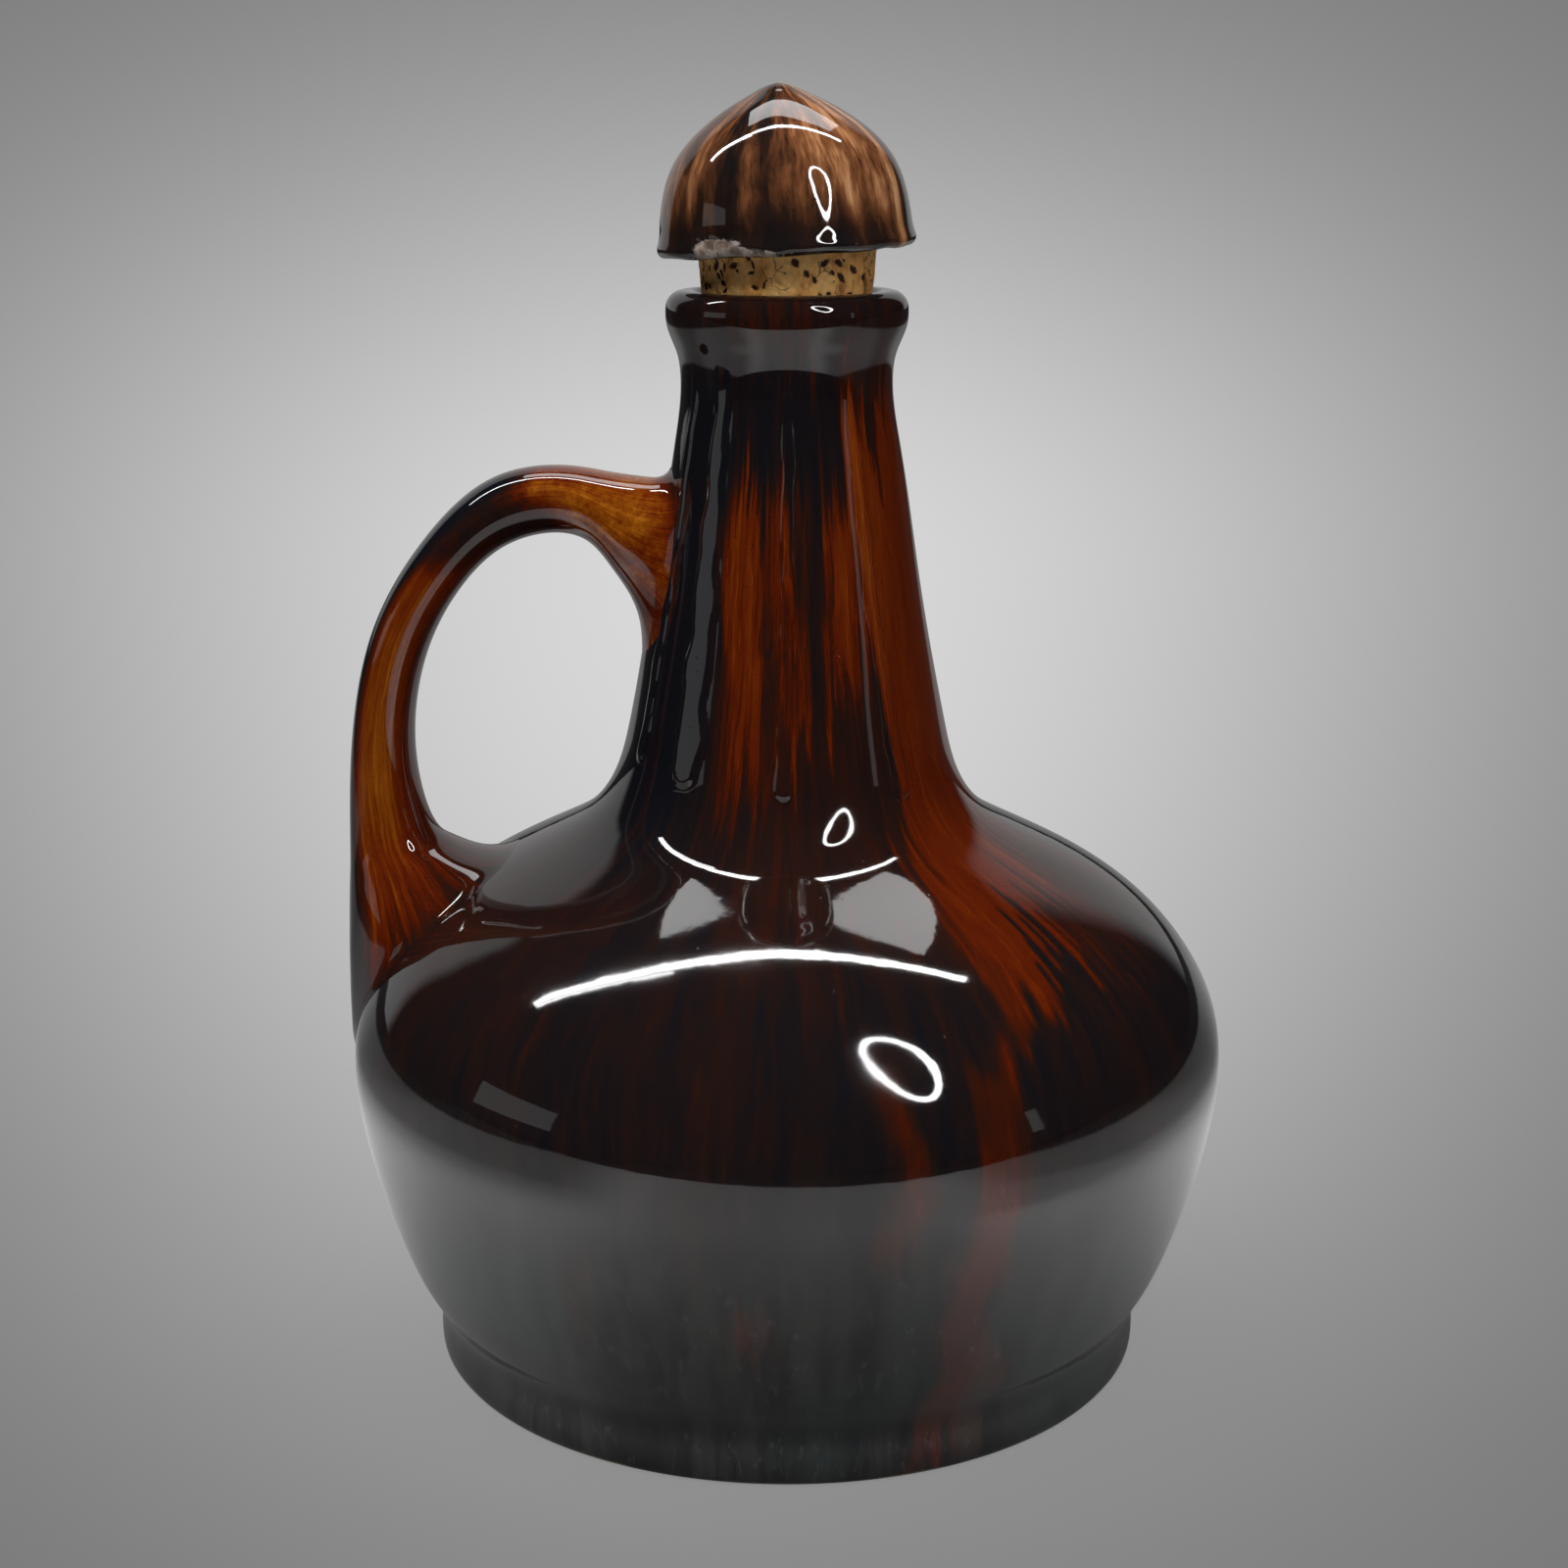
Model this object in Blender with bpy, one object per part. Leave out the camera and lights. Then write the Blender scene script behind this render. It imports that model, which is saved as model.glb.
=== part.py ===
"""Musical jug: a glazed stoneware jug with a corked stopper, and a lift-to-play musical movement in its foot.

Units are metres and +Z is up. The origin is the centre of the foot, on the surface that the jug stands on.
The handle is on the -X side. The movement sits on a board that closes a recess under the jug: a mainspring
turns a crown wheel, which turns the pinned cylinder past the comb. A worm and an air brake hold its speed.
A sprung plunger feels the table, and its lever stops the air brake while the jug stands.
"""

import math

import bmesh
import bpy
from mathutils import Vector

MM = 0.001

# Fits that many pieces share
SEAT_GAP = 0.3 * MM
RUN_GAP = 0.15 * MM
CUT_OVERRUN = 2.0 * MM
MERGE_DISTANCE = 0.0001 * MM

# Cork and stopper cap
CORK_RADIUS = 17.8 * MM
CORK_END_RADIUS = 14.8 * MM
CORK_LENGTH = 36.0 * MM
CORK_CHAMFER = 0.8 * MM
CORK_SHOWN = 7.4 * MM
CORK_IN_CAP = 4.6 * MM
CAP_RIM_WIDTH = 7.1 * MM
CAP_HEIGHT = 31.5 * MM
CAP_WALL = 5.0 * MM
CAP_RIM_EDGE = 0.9 * MM
CAP_TILT = math.radians(-3.2)
CAP_HOLLOW_RADIUS = 14.5 * MM
CAP_OUTLINE_SHARES = (
    (0.955, 0.14),
    (0.94, 0.34),
    (0.885, 0.49),
    (0.76, 0.645),
    (0.565, 0.78),
    (0.36, 0.88),
    (0.17, 0.95),
    (0.07, 0.988),
)

# Jug outline
JUG_HEIGHT = 216.0 * MM
WALL = 5.0 * MM
NECK_WALL = 5.2 * MM
LIP_DEPTH = 18.5 * MM
LIP_ROLL = 2.9 * MM
LIP_ROUND = 3.4 * MM
MOUTH_ROUND = 1.6 * MM
CORK_SEAT_LENGTH = 14.0 * MM
FOOT_RADIUS = 73.0 * MM
FOOT_HEIGHT = 6.0 * MM
FOOT_EDGE = 1.5 * MM
GROOVE_DEPTH = 1.7 * MM
GROOVE_RISE = 3.2 * MM
BELLY_RADIUS = 89.0 * MM
BELLY_HEIGHT = 63.0 * MM
TROUGH_ROUND = 3.0 * MM
LOWER_BELLY_SHARES = ((0.13, 0.24), (0.32, 0.50), (0.54, 0.74), (0.77, 0.925))
SHOULDER_SHARES = (
    (0.067, 0.981),
    (0.135, 0.920),
    (0.200, 0.818),
    (0.252, 0.690),
    (0.300, 0.525),
    (0.338, 0.378),
    (0.372, 0.277),
    (0.416, 0.214),
    (0.500, 0.163),
    (0.640, 0.110),
    (0.800, 0.058),
    (0.920, 0.020),
)
JUG_STEPS = 36

# Recess, board and its fixings
KEY_ROOM = 12.0 * MM
BOARD_THICKNESS = 3.5 * MM
LEDGE_WIDTH = 7.8 * MM
RECESS_CLEARANCE = 3.0 * MM
CEILING_CLEARANCE = 1.4 * MM
RECESS_ROUND = 2.0 * MM
ANCHOR_RADIUS = 2.2 * MM
ANCHOR_LENGTH = 8.0 * MM
BOARD_SCREW_RADIUS = 1.1 * MM
BOARD_SCREW_BITE = 6.0 * MM
SCREW_HEAD_RADIUS = 2.4 * MM
SCREW_HEAD_HEIGHT = 1.3 * MM
SLOT_WIDTH = 0.7 * MM
SLOT_DEPTH = 0.6 * MM
BOARD_SCREW_ANGLES = tuple(math.radians(angle) for angle in (90.0, 210.0, 330.0))

# Handle: its edges run from inside the neck, over the top and down into the side of the belly
HANDLE_FOOT_HEIGHT = 60.0 * MM
HANDLE_TOP_HEIGHT = 182.0 * MM
HANDLE_WIDTH = 17.0 * MM
HANDLE_EDGE_SHARES = (
    # outer edge outward and upward, inner edge outward and upward, width
    (0.247, 0.978, 0.247, 0.738, 1.30),
    (0.371, 0.986, 0.352, 0.799, 1.24),
    (0.494, 0.999, 0.455, 0.884, 1.06),
    (0.657, 0.978, 0.601, 0.879, 1.00),
    (0.818, 0.872, 0.722, 0.808, 1.00),
    (0.931, 0.730, 0.809, 0.697, 1.00),
    (0.987, 0.545, 0.847, 0.537, 1.02),
    (0.999, 0.402, 0.815, 0.410, 1.16),
    (1.001, 0.344, 0.759, 0.371, 1.42),
    (1.005, 0.279, 0.686, 0.328, 1.90),
    (1.010, 0.180, 0.641, 0.230, 2.20),
    (1.015, 0.098, 0.629, 0.131, 2.10),
    (0.989, 0.000, 0.629, 0.016, 1.50),
)
HANDLE_SECTION_POINTS = 12
HANDLE_SECTION_POWER = 2.4

# Bedplate of the movement
BED_THICKNESS = 1.6 * MM
BED_MARGIN = 1.6 * MM
BED_CORNER = 3.0 * MM
MOVEMENT_SCREW_RADIUS = 1.2 * MM
MOVEMENT_SCREW_INSET = 3.4 * MM
RIVET_RADIUS = 0.9 * MM
RIVET_ROOT = 0.6 * MM

# Mainspring drive
ARBOR_RADIUS = 1.6 * MM
ARBOR_TAIL = 9.0 * MM
HOUSING_RADIUS = 11.6 * MM
HOUSING_HEIGHT = 7.0 * MM
HOUSING_WALL = 0.8 * MM
SPRING_THICKNESS = 0.35 * MM
SPRING_INNER_GAP = 0.9 * MM
SPRING_TURNS = 6
SPIRAL_STEPS = 12
CROWN_TEETH = 40
CROWN_MODULE = 0.6 * MM
CROWN_DEDENDUM_SHARE = 1.25
CROWN_ADDENDUM_SHARE = 0.9
CROWN_TOOTH_SHARE = 0.4
CROWN_WEB = 1.4 * MM
PINION_LEAVES = 10
PINION_FACE = 1.8 * MM
PRESSURE_ANGLE = math.radians(20)
GEAR_ADDENDUM_SHARE = 0.9
GEAR_DEDENDUM_SHARE = 1.2
GEAR_TOOTH_SHARE = 0.4
PINION_TOOTH_SHARE = 0.36
KEY_HUB_RADIUS = 3.4 * MM
KEY_HUB_HEIGHT = 6.4 * MM
KEY_SPAN = 23.0 * MM
KEY_THICKNESS = 1.4 * MM
KEY_WING_HEIGHT = 7.4 * MM
KEY_BOW_ANGLE = 100

# Pinned cylinder and comb
CYLINDER_RADIUS = 6.5 * MM
CYLINDER_LENGTH = 16.0 * MM
CYLINDER_ARBOR_RADIUS = 1.0 * MM
PIN_HEIGHT = 0.5 * MM
PIN_WIDTH = 0.36 * MM
PINS_PER_TRACK = 2
POST_THICKNESS = 1.2 * MM
POST_WIDTH = 8.0 * MM
POST_GAP = 0.8 * MM
POST_FOOT = 2.8 * MM
DRIVE_GEAR_TEETH = 40
DRIVE_MODULE = 0.5 * MM
DRIVE_FACE = 1.5 * MM
COMB_TEETH = 18
COMB_SLOT = 0.28 * MM
COMB_THICKNESS = 1.0 * MM
COMB_TOOTH_LENGTH = 8.4 * MM
COMB_TOOTH_STEP = 0.08 * MM
COMB_BACK = 5.4 * MM
COMB_TIP_GAP = 0.4 * MM
COMB_SCREW_RADIUS = 0.9 * MM
COMB_SCREW_BITE = 3.0 * MM

# Governor
GOVERNOR_SIDE_ANGLE = math.radians(63.2)
MESH_EASE = 0.05 * MM
GOVERNOR_ARBOR_RADIUS = 0.8 * MM
WORM_TO_PINION = 6.9 * MM
WORM_WHEEL_TEETH = 20
WORM_MODULE = 0.4 * MM
WORM_FACE = 1.4 * MM
WORM_RADIUS = 1.6 * MM
WORM_TURNS = 3.5
WORM_STEPS = 12
WORM_CREST_SHARE = 0.16
WORM_FLANK_SHARE = 0.13
WORM_DEDENDUM_SHARE = 1.15
WORM_ADDENDUM_SHARE = 0.85
WORM_SHAFT_RADIUS = 0.7 * MM
CHEEK_GAP = 3.6 * MM
CHEEK_THICKNESS = 1.1 * MM
CHEEK_DEPTH = 4.6 * MM
BRAKE_VANE_RADIUS = 3.5 * MM
BRAKE_VANE_HEIGHT = 4.2 * MM
BRAKE_VANE_THICKNESS = 0.6 * MM
BRAKE_HUB_RADIUS = 1.5 * MM
BRAKE_DISC_RADIUS = 2.8 * MM
BRAKE_DISC_THICKNESS = 0.9 * MM
BRAKE_RISE = 1.2 * MM
JEWEL_HEIGHT = 1.0 * MM
JEWEL_RADIUS = 1.7 * MM

# Lift-to-play stop
PLUNGER_OUT = 13.6 * MM
PLUNGER_RADIUS = 1.5 * MM
PLUNGER_TRAVEL = 2.2 * MM
PLUNGER_FOOT_RADIUS = 3.0 * MM
PLUNGER_FOOT_HEIGHT = 2.2 * MM
GUIDE_RADIUS = 2.6 * MM
GUIDE_FLANGE_RADIUS = 3.6 * MM
GUIDE_FLANGE = 0.9 * MM
CLIP_RADIUS = 2.6 * MM
CLIP_THICKNESS = 0.7 * MM
COIL_RADIUS = 2.3 * MM
COIL_WIRE = 0.28 * MM
COIL_TURNS = 6
COIL_STEPS = 9
COIL_SIDES = 5
LEVER_ARM = 6.2 * MM
LEVER_BAR = 1.1 * MM
LEVER_HUB_RADIUS = 1.8 * MM
LEVER_WIDTH = 2.0 * MM
LEVER_PIN_RADIUS = 0.7 * MM
BRACKET_THICKNESS = 1.2 * MM
BRACKET_FOOT = 6.2 * MM
BRACKET_SCREW_RADIUS = 0.8 * MM

# Facets of the small round pieces
SCREW_STEPS = 8
SMALL_STEPS = 12
ROUND_STEPS = 24

# Turns of a piece that is modelled along Z
ALONG_X = (0, math.pi / 2, 0)
UPSIDE_DOWN = (math.pi, 0, 0)


def on_curve(points, per_span):
    """Points on a smooth curve through the given points, with the given number in each span."""
    given = [Vector(point) for point in points]
    slopes = [(after - before) / 2 for before, after in zip([given[0], *given], [*given[1:], given[-1]])]
    curve = []
    for i in range(len(given) - 1):
        for step in range(per_span):
            t = step / per_span
            near = given[i] * ((1 + 2 * t) * (1 - t) ** 2) + slopes[i] * (t * (1 - t) ** 2)
            far = given[i + 1] * (t * t * (3 - 2 * t)) + slopes[i + 1] * (t * t * (t - 1))
            curve.append(tuple(near + far))
    return [*curve, tuple(given[-1])]


def arc(centre, radius, start, end, steps):
    """Points on a circular arc, with its angles in degrees."""
    turn = [math.radians(start + (end - start) * i / steps) for i in range(steps + 1)]
    return [(centre[0] + radius * math.cos(a), centre[1] + radius * math.sin(a)) for a in turn]


def beside(outline, distance):
    """An open outline moved sideways, to the left of its direction when the distance is positive."""
    moved = []
    for i, point in enumerate(outline):
        before = Vector(outline[max(i - 1, 0)])
        after = Vector(outline[min(i + 1, len(outline) - 1)])
        along = (after - before).normalized()
        moved.append((point[0] - along.y * distance, point[1] + along.x * distance))
    return moved


# Sizes that follow from the values above

# Heights of the movement, from the board upwards
board_bottom = KEY_ROOM
board_top = board_bottom + BOARD_THICKNESS
ledge_height = board_top + SEAT_GAP
bed_bottom = board_top + SEAT_GAP
bed_top = bed_bottom + BED_THICKNESS
floor_height = bed_top + SEAT_GAP
housing_top = floor_height + HOUSING_HEIGHT
crown_bottom = housing_top + SEAT_GAP
crown_dedendum = CROWN_DEDENDUM_SHARE * CROWN_MODULE
crown_addendum = CROWN_ADDENDUM_SHARE * CROWN_MODULE
crown_pitch_height = crown_bottom + CROWN_WEB + crown_dedendum
crown_radius = CROWN_TEETH * CROWN_MODULE / 2
crown_outer_radius = crown_radius + PINION_FACE / 2 + SEAT_GAP
crown_inner_radius = crown_radius - PINION_FACE / 2 - SEAT_GAP
pinion_start = crown_radius - PINION_FACE / 2
pinion_end = crown_radius + PINION_FACE / 2
pinion_radius = PINION_LEAVES * CROWN_MODULE / 2
cylinder_height = crown_pitch_height + pinion_radius

# Places along the cylinder's arbor, outward from the winding arbor
left_post_start = crown_outer_radius + POST_GAP
left_post_end = left_post_start + POST_THICKNESS
cylinder_start = left_post_end + POST_GAP
inner_foot_end = left_post_end + POST_FOOT
cylinder_end = cylinder_start + CYLINDER_LENGTH
drive_gear_start = cylinder_end + SEAT_GAP
drive_gear_end = drive_gear_start + DRIVE_FACE
right_post_start = drive_gear_end + POST_GAP
right_post_end = right_post_start + POST_THICKNESS
outer_foot_end = right_post_end + POST_FOOT
drive_gear_radius = DRIVE_GEAR_TEETH * DRIVE_MODULE / 2
governor_pinion_radius = PINION_LEAVES * DRIVE_MODULE / 2

# Governor, beside the cylinder on the +Y side
drive_centres = drive_gear_radius + governor_pinion_radius + MESH_EASE
governor_reach = drive_centres * math.sin(GOVERNOR_SIDE_ANGLE)
governor_drop = drive_centres * math.cos(GOVERNOR_SIDE_ANGLE)
governor_height = cylinder_height - governor_drop
worm_wheel_radius = WORM_WHEEL_TEETH * WORM_MODULE / 2
worm_x = drive_gear_start - WORM_TO_PINION
worm_y = governor_reach + worm_wheel_radius + WORM_RADIUS + MESH_EASE
worm_lead = math.pi * WORM_MODULE
left_cheek_end = worm_x - CHEEK_GAP
left_cheek_start = left_cheek_end - CHEEK_THICKNESS
right_cheek_start = worm_x + CHEEK_GAP
right_cheek_end = right_cheek_start + CHEEK_THICKNESS
brake_bottom = governor_height + worm_wheel_radius + WORM_MODULE + BRAKE_RISE
brake_disc_bottom = brake_bottom + BRAKE_VANE_HEIGHT
brake_disc_top = brake_disc_bottom + BRAKE_DISC_THICKNESS
jewel_bottom = brake_disc_top + SEAT_GAP
arm_bottom = jewel_bottom + JEWEL_HEIGHT / 2
arm_top = arm_bottom + CHEEK_THICKNESS
frame_front = governor_reach - CHEEK_DEPTH / 2
frame_back = worm_y + CHEEK_DEPTH / 2

# Comb, on the -Y side
comb_tip = -(CYLINDER_RADIUS + PIN_HEIGHT + COMB_TIP_GAP)
comb_root = comb_tip - COMB_TOOTH_LENGTH
comb_back = comb_root - COMB_BACK
comb_bottom = cylinder_height - COMB_THICKNESS / 2
comb_top = comb_bottom + COMB_THICKNESS
comb_block_front = comb_root - COMB_TEETH * COMB_TOOTH_STEP

# Bedplate and the recess around it
bed_left = -(HOUSING_RADIUS + BED_MARGIN)
bed_right = outer_foot_end + BED_MARGIN
bed_front = comb_back - BED_MARGIN / 2
bed_back = frame_back + BED_MARGIN / 2
bed_corner_reach = math.hypot(bed_right, max(-bed_front, bed_back))
recess_radius = bed_corner_reach + RECESS_CLEARANCE
counterbore_radius = recess_radius + LEDGE_WIDTH
board_radius = counterbore_radius - SEAT_GAP
tallest_piece = max(cylinder_height + drive_gear_radius + DRIVE_MODULE, arm_top)
recess_ceiling = tallest_piece + CEILING_CLEARANCE
anchor_ring = recess_radius + LEDGE_WIDTH / 2

# Stopper and neck
cork_top = JUG_HEIGHT + CORK_SHOWN + CORK_IN_CAP
neck_top_height = JUG_HEIGHT - LIP_DEPTH


def cork_radius_at(height):
    """Radius of the tapered cork at a height above the foot."""
    return CORK_RADIUS - (CORK_RADIUS - CORK_END_RADIUS) * (cork_top - height) / CORK_LENGTH


neck_top_radius = cork_radius_at(neck_top_height) + SEAT_GAP + NECK_WALL
lip_radius = neck_top_radius + LIP_ROLL
mouth_radius = cork_radius_at(JUG_HEIGHT) + SEAT_GAP

# Lift-to-play stop, outside the bedplate on the +Y side
lever_pivot_y = bed_back + max(LEVER_HUB_RADIUS, SCREW_HEAD_RADIUS) + SEAT_GAP
lever_pivot_height = floor_height + LEVER_ARM
plunger_y = worm_y + PLUNGER_OUT
lever_reach = plunger_y - lever_pivot_y
guide_top = board_top + GUIDE_FLANGE
clip_bottom = guide_top + PLUNGER_TRAVEL + SEAT_GAP
clip_top = clip_bottom + CLIP_THICKNESS
plunger_top = lever_pivot_height - LEVER_BAR / 2 - SEAT_GAP
bracket_screw_x = worm_x + LEVER_WIDTH / 2 + SEAT_GAP + BRACKET_THICKNESS + BRACKET_FOOT / 2
bracket_screw_place = (bracket_screw_x, lever_pivot_y)

# Rivets of the pieces on the bedplate
housing_ring = (HOUSING_RADIUS + ARBOR_RADIUS) / 2
cylinder_middle = (cylinder_start + cylinder_end) / 2
comb_rivet_y = (comb_back + comb_block_front) / 2
rivet_places = {
    "spring_housing": [(0, housing_ring), (0, -housing_ring)],
    "cylinder_post_inner": [((left_post_end + inner_foot_end) / 2, 0)],
    "cylinder_post_outer": [((right_post_end + outer_foot_end) / 2, 0)],
    "comb_base": [
        (cylinder_middle - CYLINDER_LENGTH / 4, comb_rivet_y),
        (cylinder_middle + CYLINDER_LENGTH / 4, comb_rivet_y),
    ],
    "governor_frame": [
        (left_cheek_end + RIVET_RADIUS, governor_reach),
        (right_cheek_start - RIVET_RADIUS, governor_reach),
    ],
}


def material(name, colour, roughness, metallic=0.0):
    """A plain finish for one kind of piece."""
    made = bpy.data.materials.new(name)
    made.use_nodes = True
    shader = made.node_tree.nodes["Principled BSDF"]
    shader.inputs["Base Color"].default_value = (*colour, 1.0)
    shader.inputs["Roughness"].default_value = roughness
    shader.inputs["Metallic"].default_value = metallic
    return made


def empty(name, place=(0, 0, 0)):
    """A point that a group of pieces is placed by."""
    made = bpy.data.objects.new(name, None)
    made.location = place
    bpy.context.scene.collection.objects.link(made)
    return made


def solid(name, shape, finish, place=(0, 0, 0), turn=(0, 0, 0), parent=None):
    """A named piece from a shape, with its faces pointing out. The shape is used up."""
    bmesh.ops.remove_doubles(shape, verts=shape.verts, dist=MERGE_DISTANCE)
    bmesh.ops.recalc_face_normals(shape, faces=shape.faces)
    mesh = bpy.data.meshes.new(name)
    shape.to_mesh(mesh)
    shape.free()
    mesh.shade_smooth()
    mesh.set_sharp_from_angle(angle=math.radians(35))
    mesh.materials.append(finish)
    made = bpy.data.objects.new(name, mesh)
    made.location = place
    made.rotation_euler = turn
    made.parent = parent
    bpy.context.scene.collection.objects.link(made)
    return made


def helper(name, shape, place=(0, 0, 0), turn=(0, 0, 0), parent=None):
    """A shape that only cuts or joins, and isn't a piece itself."""
    made = solid(name, shape, finishes["helper"], place, turn, parent)
    made.hide_render = True
    made.display_type = "WIRE"
    return made


def combine(piece, other, operation):
    """Cuts the other shape from the piece, or joins it to the piece."""
    step = piece.modifiers.new(f"{operation.lower()} {other.name}", "BOOLEAN")
    step.operation = operation
    step.solver = "EXACT"
    step.object = other
    return piece


def turned(outline, steps):
    """A shape turned about Z. Its outline of (radius, height) is closed, or starts and ends on the axis."""
    shape = bmesh.new()
    points = [shape.verts.new((radius, 0, height)) for radius, height in outline]
    on_axis = outline[0][0] == 0 and outline[-1][0] == 0
    following = points[1:] if on_axis else points[1:] + points[:1]
    lines = [shape.edges.new(pair) for pair in zip(points, following)]
    path = {"cent": (0, 0, 0), "axis": (0, 0, 1), "angle": math.tau, "steps": steps}
    bmesh.ops.spin(shape, geom=points + lines, use_merge=True, **path)
    return shape


def extruded(corners, offset):
    """A flat face through the corners, made thick by the offset."""
    shape = bmesh.new()
    face = shape.faces.new([shape.verts.new(corner) for corner in corners])
    grown = bmesh.ops.extrude_face_region(shape, geom=[face])
    new_points = [item for item in grown["geom"] if isinstance(item, bmesh.types.BMVert)]
    bmesh.ops.translate(shape, verts=new_points, vec=offset)
    return shape


def prism(outline, bottom, top):
    """A flat outline of (x, y) points, made thick along Z."""
    return extruded([(x, y, bottom) for x, y in outline], (0, 0, top - bottom))


def block(low, high):
    """A box between two corners."""
    corners = [(low[0], low[1]), (high[0], low[1]), (high[0], high[1]), (low[0], high[1])]
    return prism(corners, low[2], high[2])


def rod(radius, bottom, top, steps=SMALL_STEPS):
    """A plain round bar along Z."""
    shape = bmesh.new()
    height = top - bottom
    bmesh.ops.create_cone(shape, cap_ends=True, segments=steps, radius1=radius, radius2=radius, depth=height)
    return moved(shape, (0, 0, bottom + height / 2))


def sleeve(inner, outer, bottom, top, steps=SMALL_STEPS):
    """A round bar with a bore."""
    return turned([(inner, bottom), (outer, bottom), (outer, top), (inner, top)], steps)


def skinned(rings):
    """A closed shape through a row of rings with equal numbers of points."""
    shape = bmesh.new()
    rows = [[shape.verts.new(point) for point in ring] for ring in rings]
    count = len(rows[0])
    shape.faces.new(rows[0][::-1])
    shape.faces.new(rows[-1])
    for near, far in zip(rows, rows[1:]):
        for i in range(count):
            j = (i + 1) % count
            shape.faces.new((near[i], near[j], far[j], far[i]))
    return shape


def moved(shape, offset):
    """The shape at another place."""
    bmesh.ops.translate(shape, verts=shape.verts, vec=offset)
    return shape


def together(shapes):
    """Several separate shapes as one, for a helper that cuts or joins them all."""
    whole = bmesh.new()
    for shape in shapes:
        mesh = bpy.data.meshes.new("part_of_helper")
        shape.to_mesh(mesh)
        shape.free()
        whole.from_mesh(mesh)
        bpy.data.meshes.remove(mesh)
    return whole


def rounded_rectangle(left, right, front, back, corner):
    """The outline of a rectangle with round corners."""
    centres = (
        (right - corner, back - corner),
        (left + corner, back - corner),
        (left + corner, front + corner),
        (right - corner, front + corner),
    )
    quarters = [arc(centre, corner, 90 * k, 90 * (k + 1), 3) for k, centre in enumerate(centres)]
    return [point for quarter in quarters for point in quarter]


def outer_curve():
    """The jug's outer surface as (radius, height), from the fold above the foot to the neck below the lip."""
    fold = (FOOT_RADIUS - GROOVE_DEPTH, FOOT_HEIGHT + GROOVE_RISE)
    rise, swell = BELLY_HEIGHT - fold[1], BELLY_RADIUS - fold[0]
    drop, narrow = neck_top_height - BELLY_HEIGHT, BELLY_RADIUS - neck_top_radius
    lower = [(fold[0] + r * swell, fold[1] + z * rise) for z, r in LOWER_BELLY_SHARES]
    upper = [(neck_top_radius + r * narrow, BELLY_HEIGHT + z * drop) for z, r in SHOULDER_SHARES]
    return [fold, *lower, (BELLY_RADIUS, BELLY_HEIGHT), *upper, (neck_top_radius, neck_top_height)]


def foot_curve():
    """The outside of the foot, from its standing ring to the fold."""
    edge = arc((FOOT_RADIUS - FOOT_EDGE, FOOT_EDGE), FOOT_EDGE, -90, 0, 2)
    middle = (FOOT_RADIUS - GROOVE_DEPTH / 2, FOOT_HEIGHT + GROOVE_RISE / 2)
    return [*edge, (FOOT_RADIUS, FOOT_HEIGHT), middle]


def lip_curve():
    """The rolled lip, from the top of the neck to the mouth."""
    widest = JUG_HEIGHT - LIP_ROUND
    bulge = [
        (neck_top_radius + LIP_ROLL * 0.12, neck_top_height + LIP_DEPTH * 0.22),
        (neck_top_radius + LIP_ROLL * 0.62, neck_top_height + LIP_DEPTH * 0.52),
    ]
    top = arc((lip_radius - LIP_ROUND, widest), LIP_ROUND, 0, 90, 3)
    mouth = arc((mouth_radius + MOUTH_ROUND, JUG_HEIGHT - MOUTH_ROUND), MOUTH_ROUND, 90, 180, 2)
    return [*bulge, *top, *mouth]


def jug_outline():
    """The jug's section: its recess, then its outside up to the mouth, then its chamber down to the floor."""
    recess = [
        (0, recess_ceiling),
        (recess_radius - RECESS_ROUND, recess_ceiling),
        (recess_radius, recess_ceiling - RECESS_ROUND),
        (recess_radius, ledge_height),
        (counterbore_radius, ledge_height),
        (counterbore_radius, FOOT_EDGE),
        (counterbore_radius + FOOT_EDGE, 0),
    ]
    outside = [*foot_curve(), *outer_curve(), *lip_curve()]
    seat_end = JUG_HEIGHT - CORK_SEAT_LENGTH
    seat = (cork_radius_at(seat_end) + SEAT_GAP, seat_end)
    chamber = beside(outer_curve()[::-1], -WALL)[1:-1:2]
    trough_outer = min(chamber[-1][0], BELLY_RADIUS - WALL)
    trough_inner = counterbore_radius + WALL
    round_off = min(TROUGH_ROUND, (trough_outer - trough_inner) / 3)
    step_height = ledge_height + ANCHOR_LENGTH + WALL
    ceiling_top = recess_ceiling + WALL
    floor = [
        (trough_outer - round_off / 3, WALL + round_off),
        (trough_outer - round_off, WALL),
        (trough_inner + round_off, WALL),
        (trough_inner, WALL + round_off),
        (trough_inner, step_height),
        (recess_radius + WALL, step_height + LEDGE_WIDTH / 2),
        (recess_radius + WALL, ceiling_top - TROUGH_ROUND),
        (recess_radius + WALL - TROUGH_ROUND, ceiling_top),
        (0, ceiling_top),
    ]
    return [*recess, *outside, seat, *chamber, *floor]


def board_screw_places():
    """The fixings of the board, on the ledge of the recess."""
    return [(anchor_ring * math.cos(angle), anchor_ring * math.sin(angle)) for angle in BOARD_SCREW_ANGLES]


def make_jug_body():
    """The thrown and glazed body, with its recess and the pockets for the board's anchors."""
    body = solid("jug_body", turned(jug_outline(), JUG_STEPS), finishes["glaze"])
    low, high = ledge_height - CUT_OVERRUN, ledge_height + ANCHOR_LENGTH + SEAT_GAP
    pockets = [moved(rod(ANCHOR_RADIUS + SEAT_GAP, low, high), (x, y, 0)) for x, y in board_screw_places()]
    return combine(body, helper("anchor_pockets", together(pockets)), "DIFFERENCE")


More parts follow.
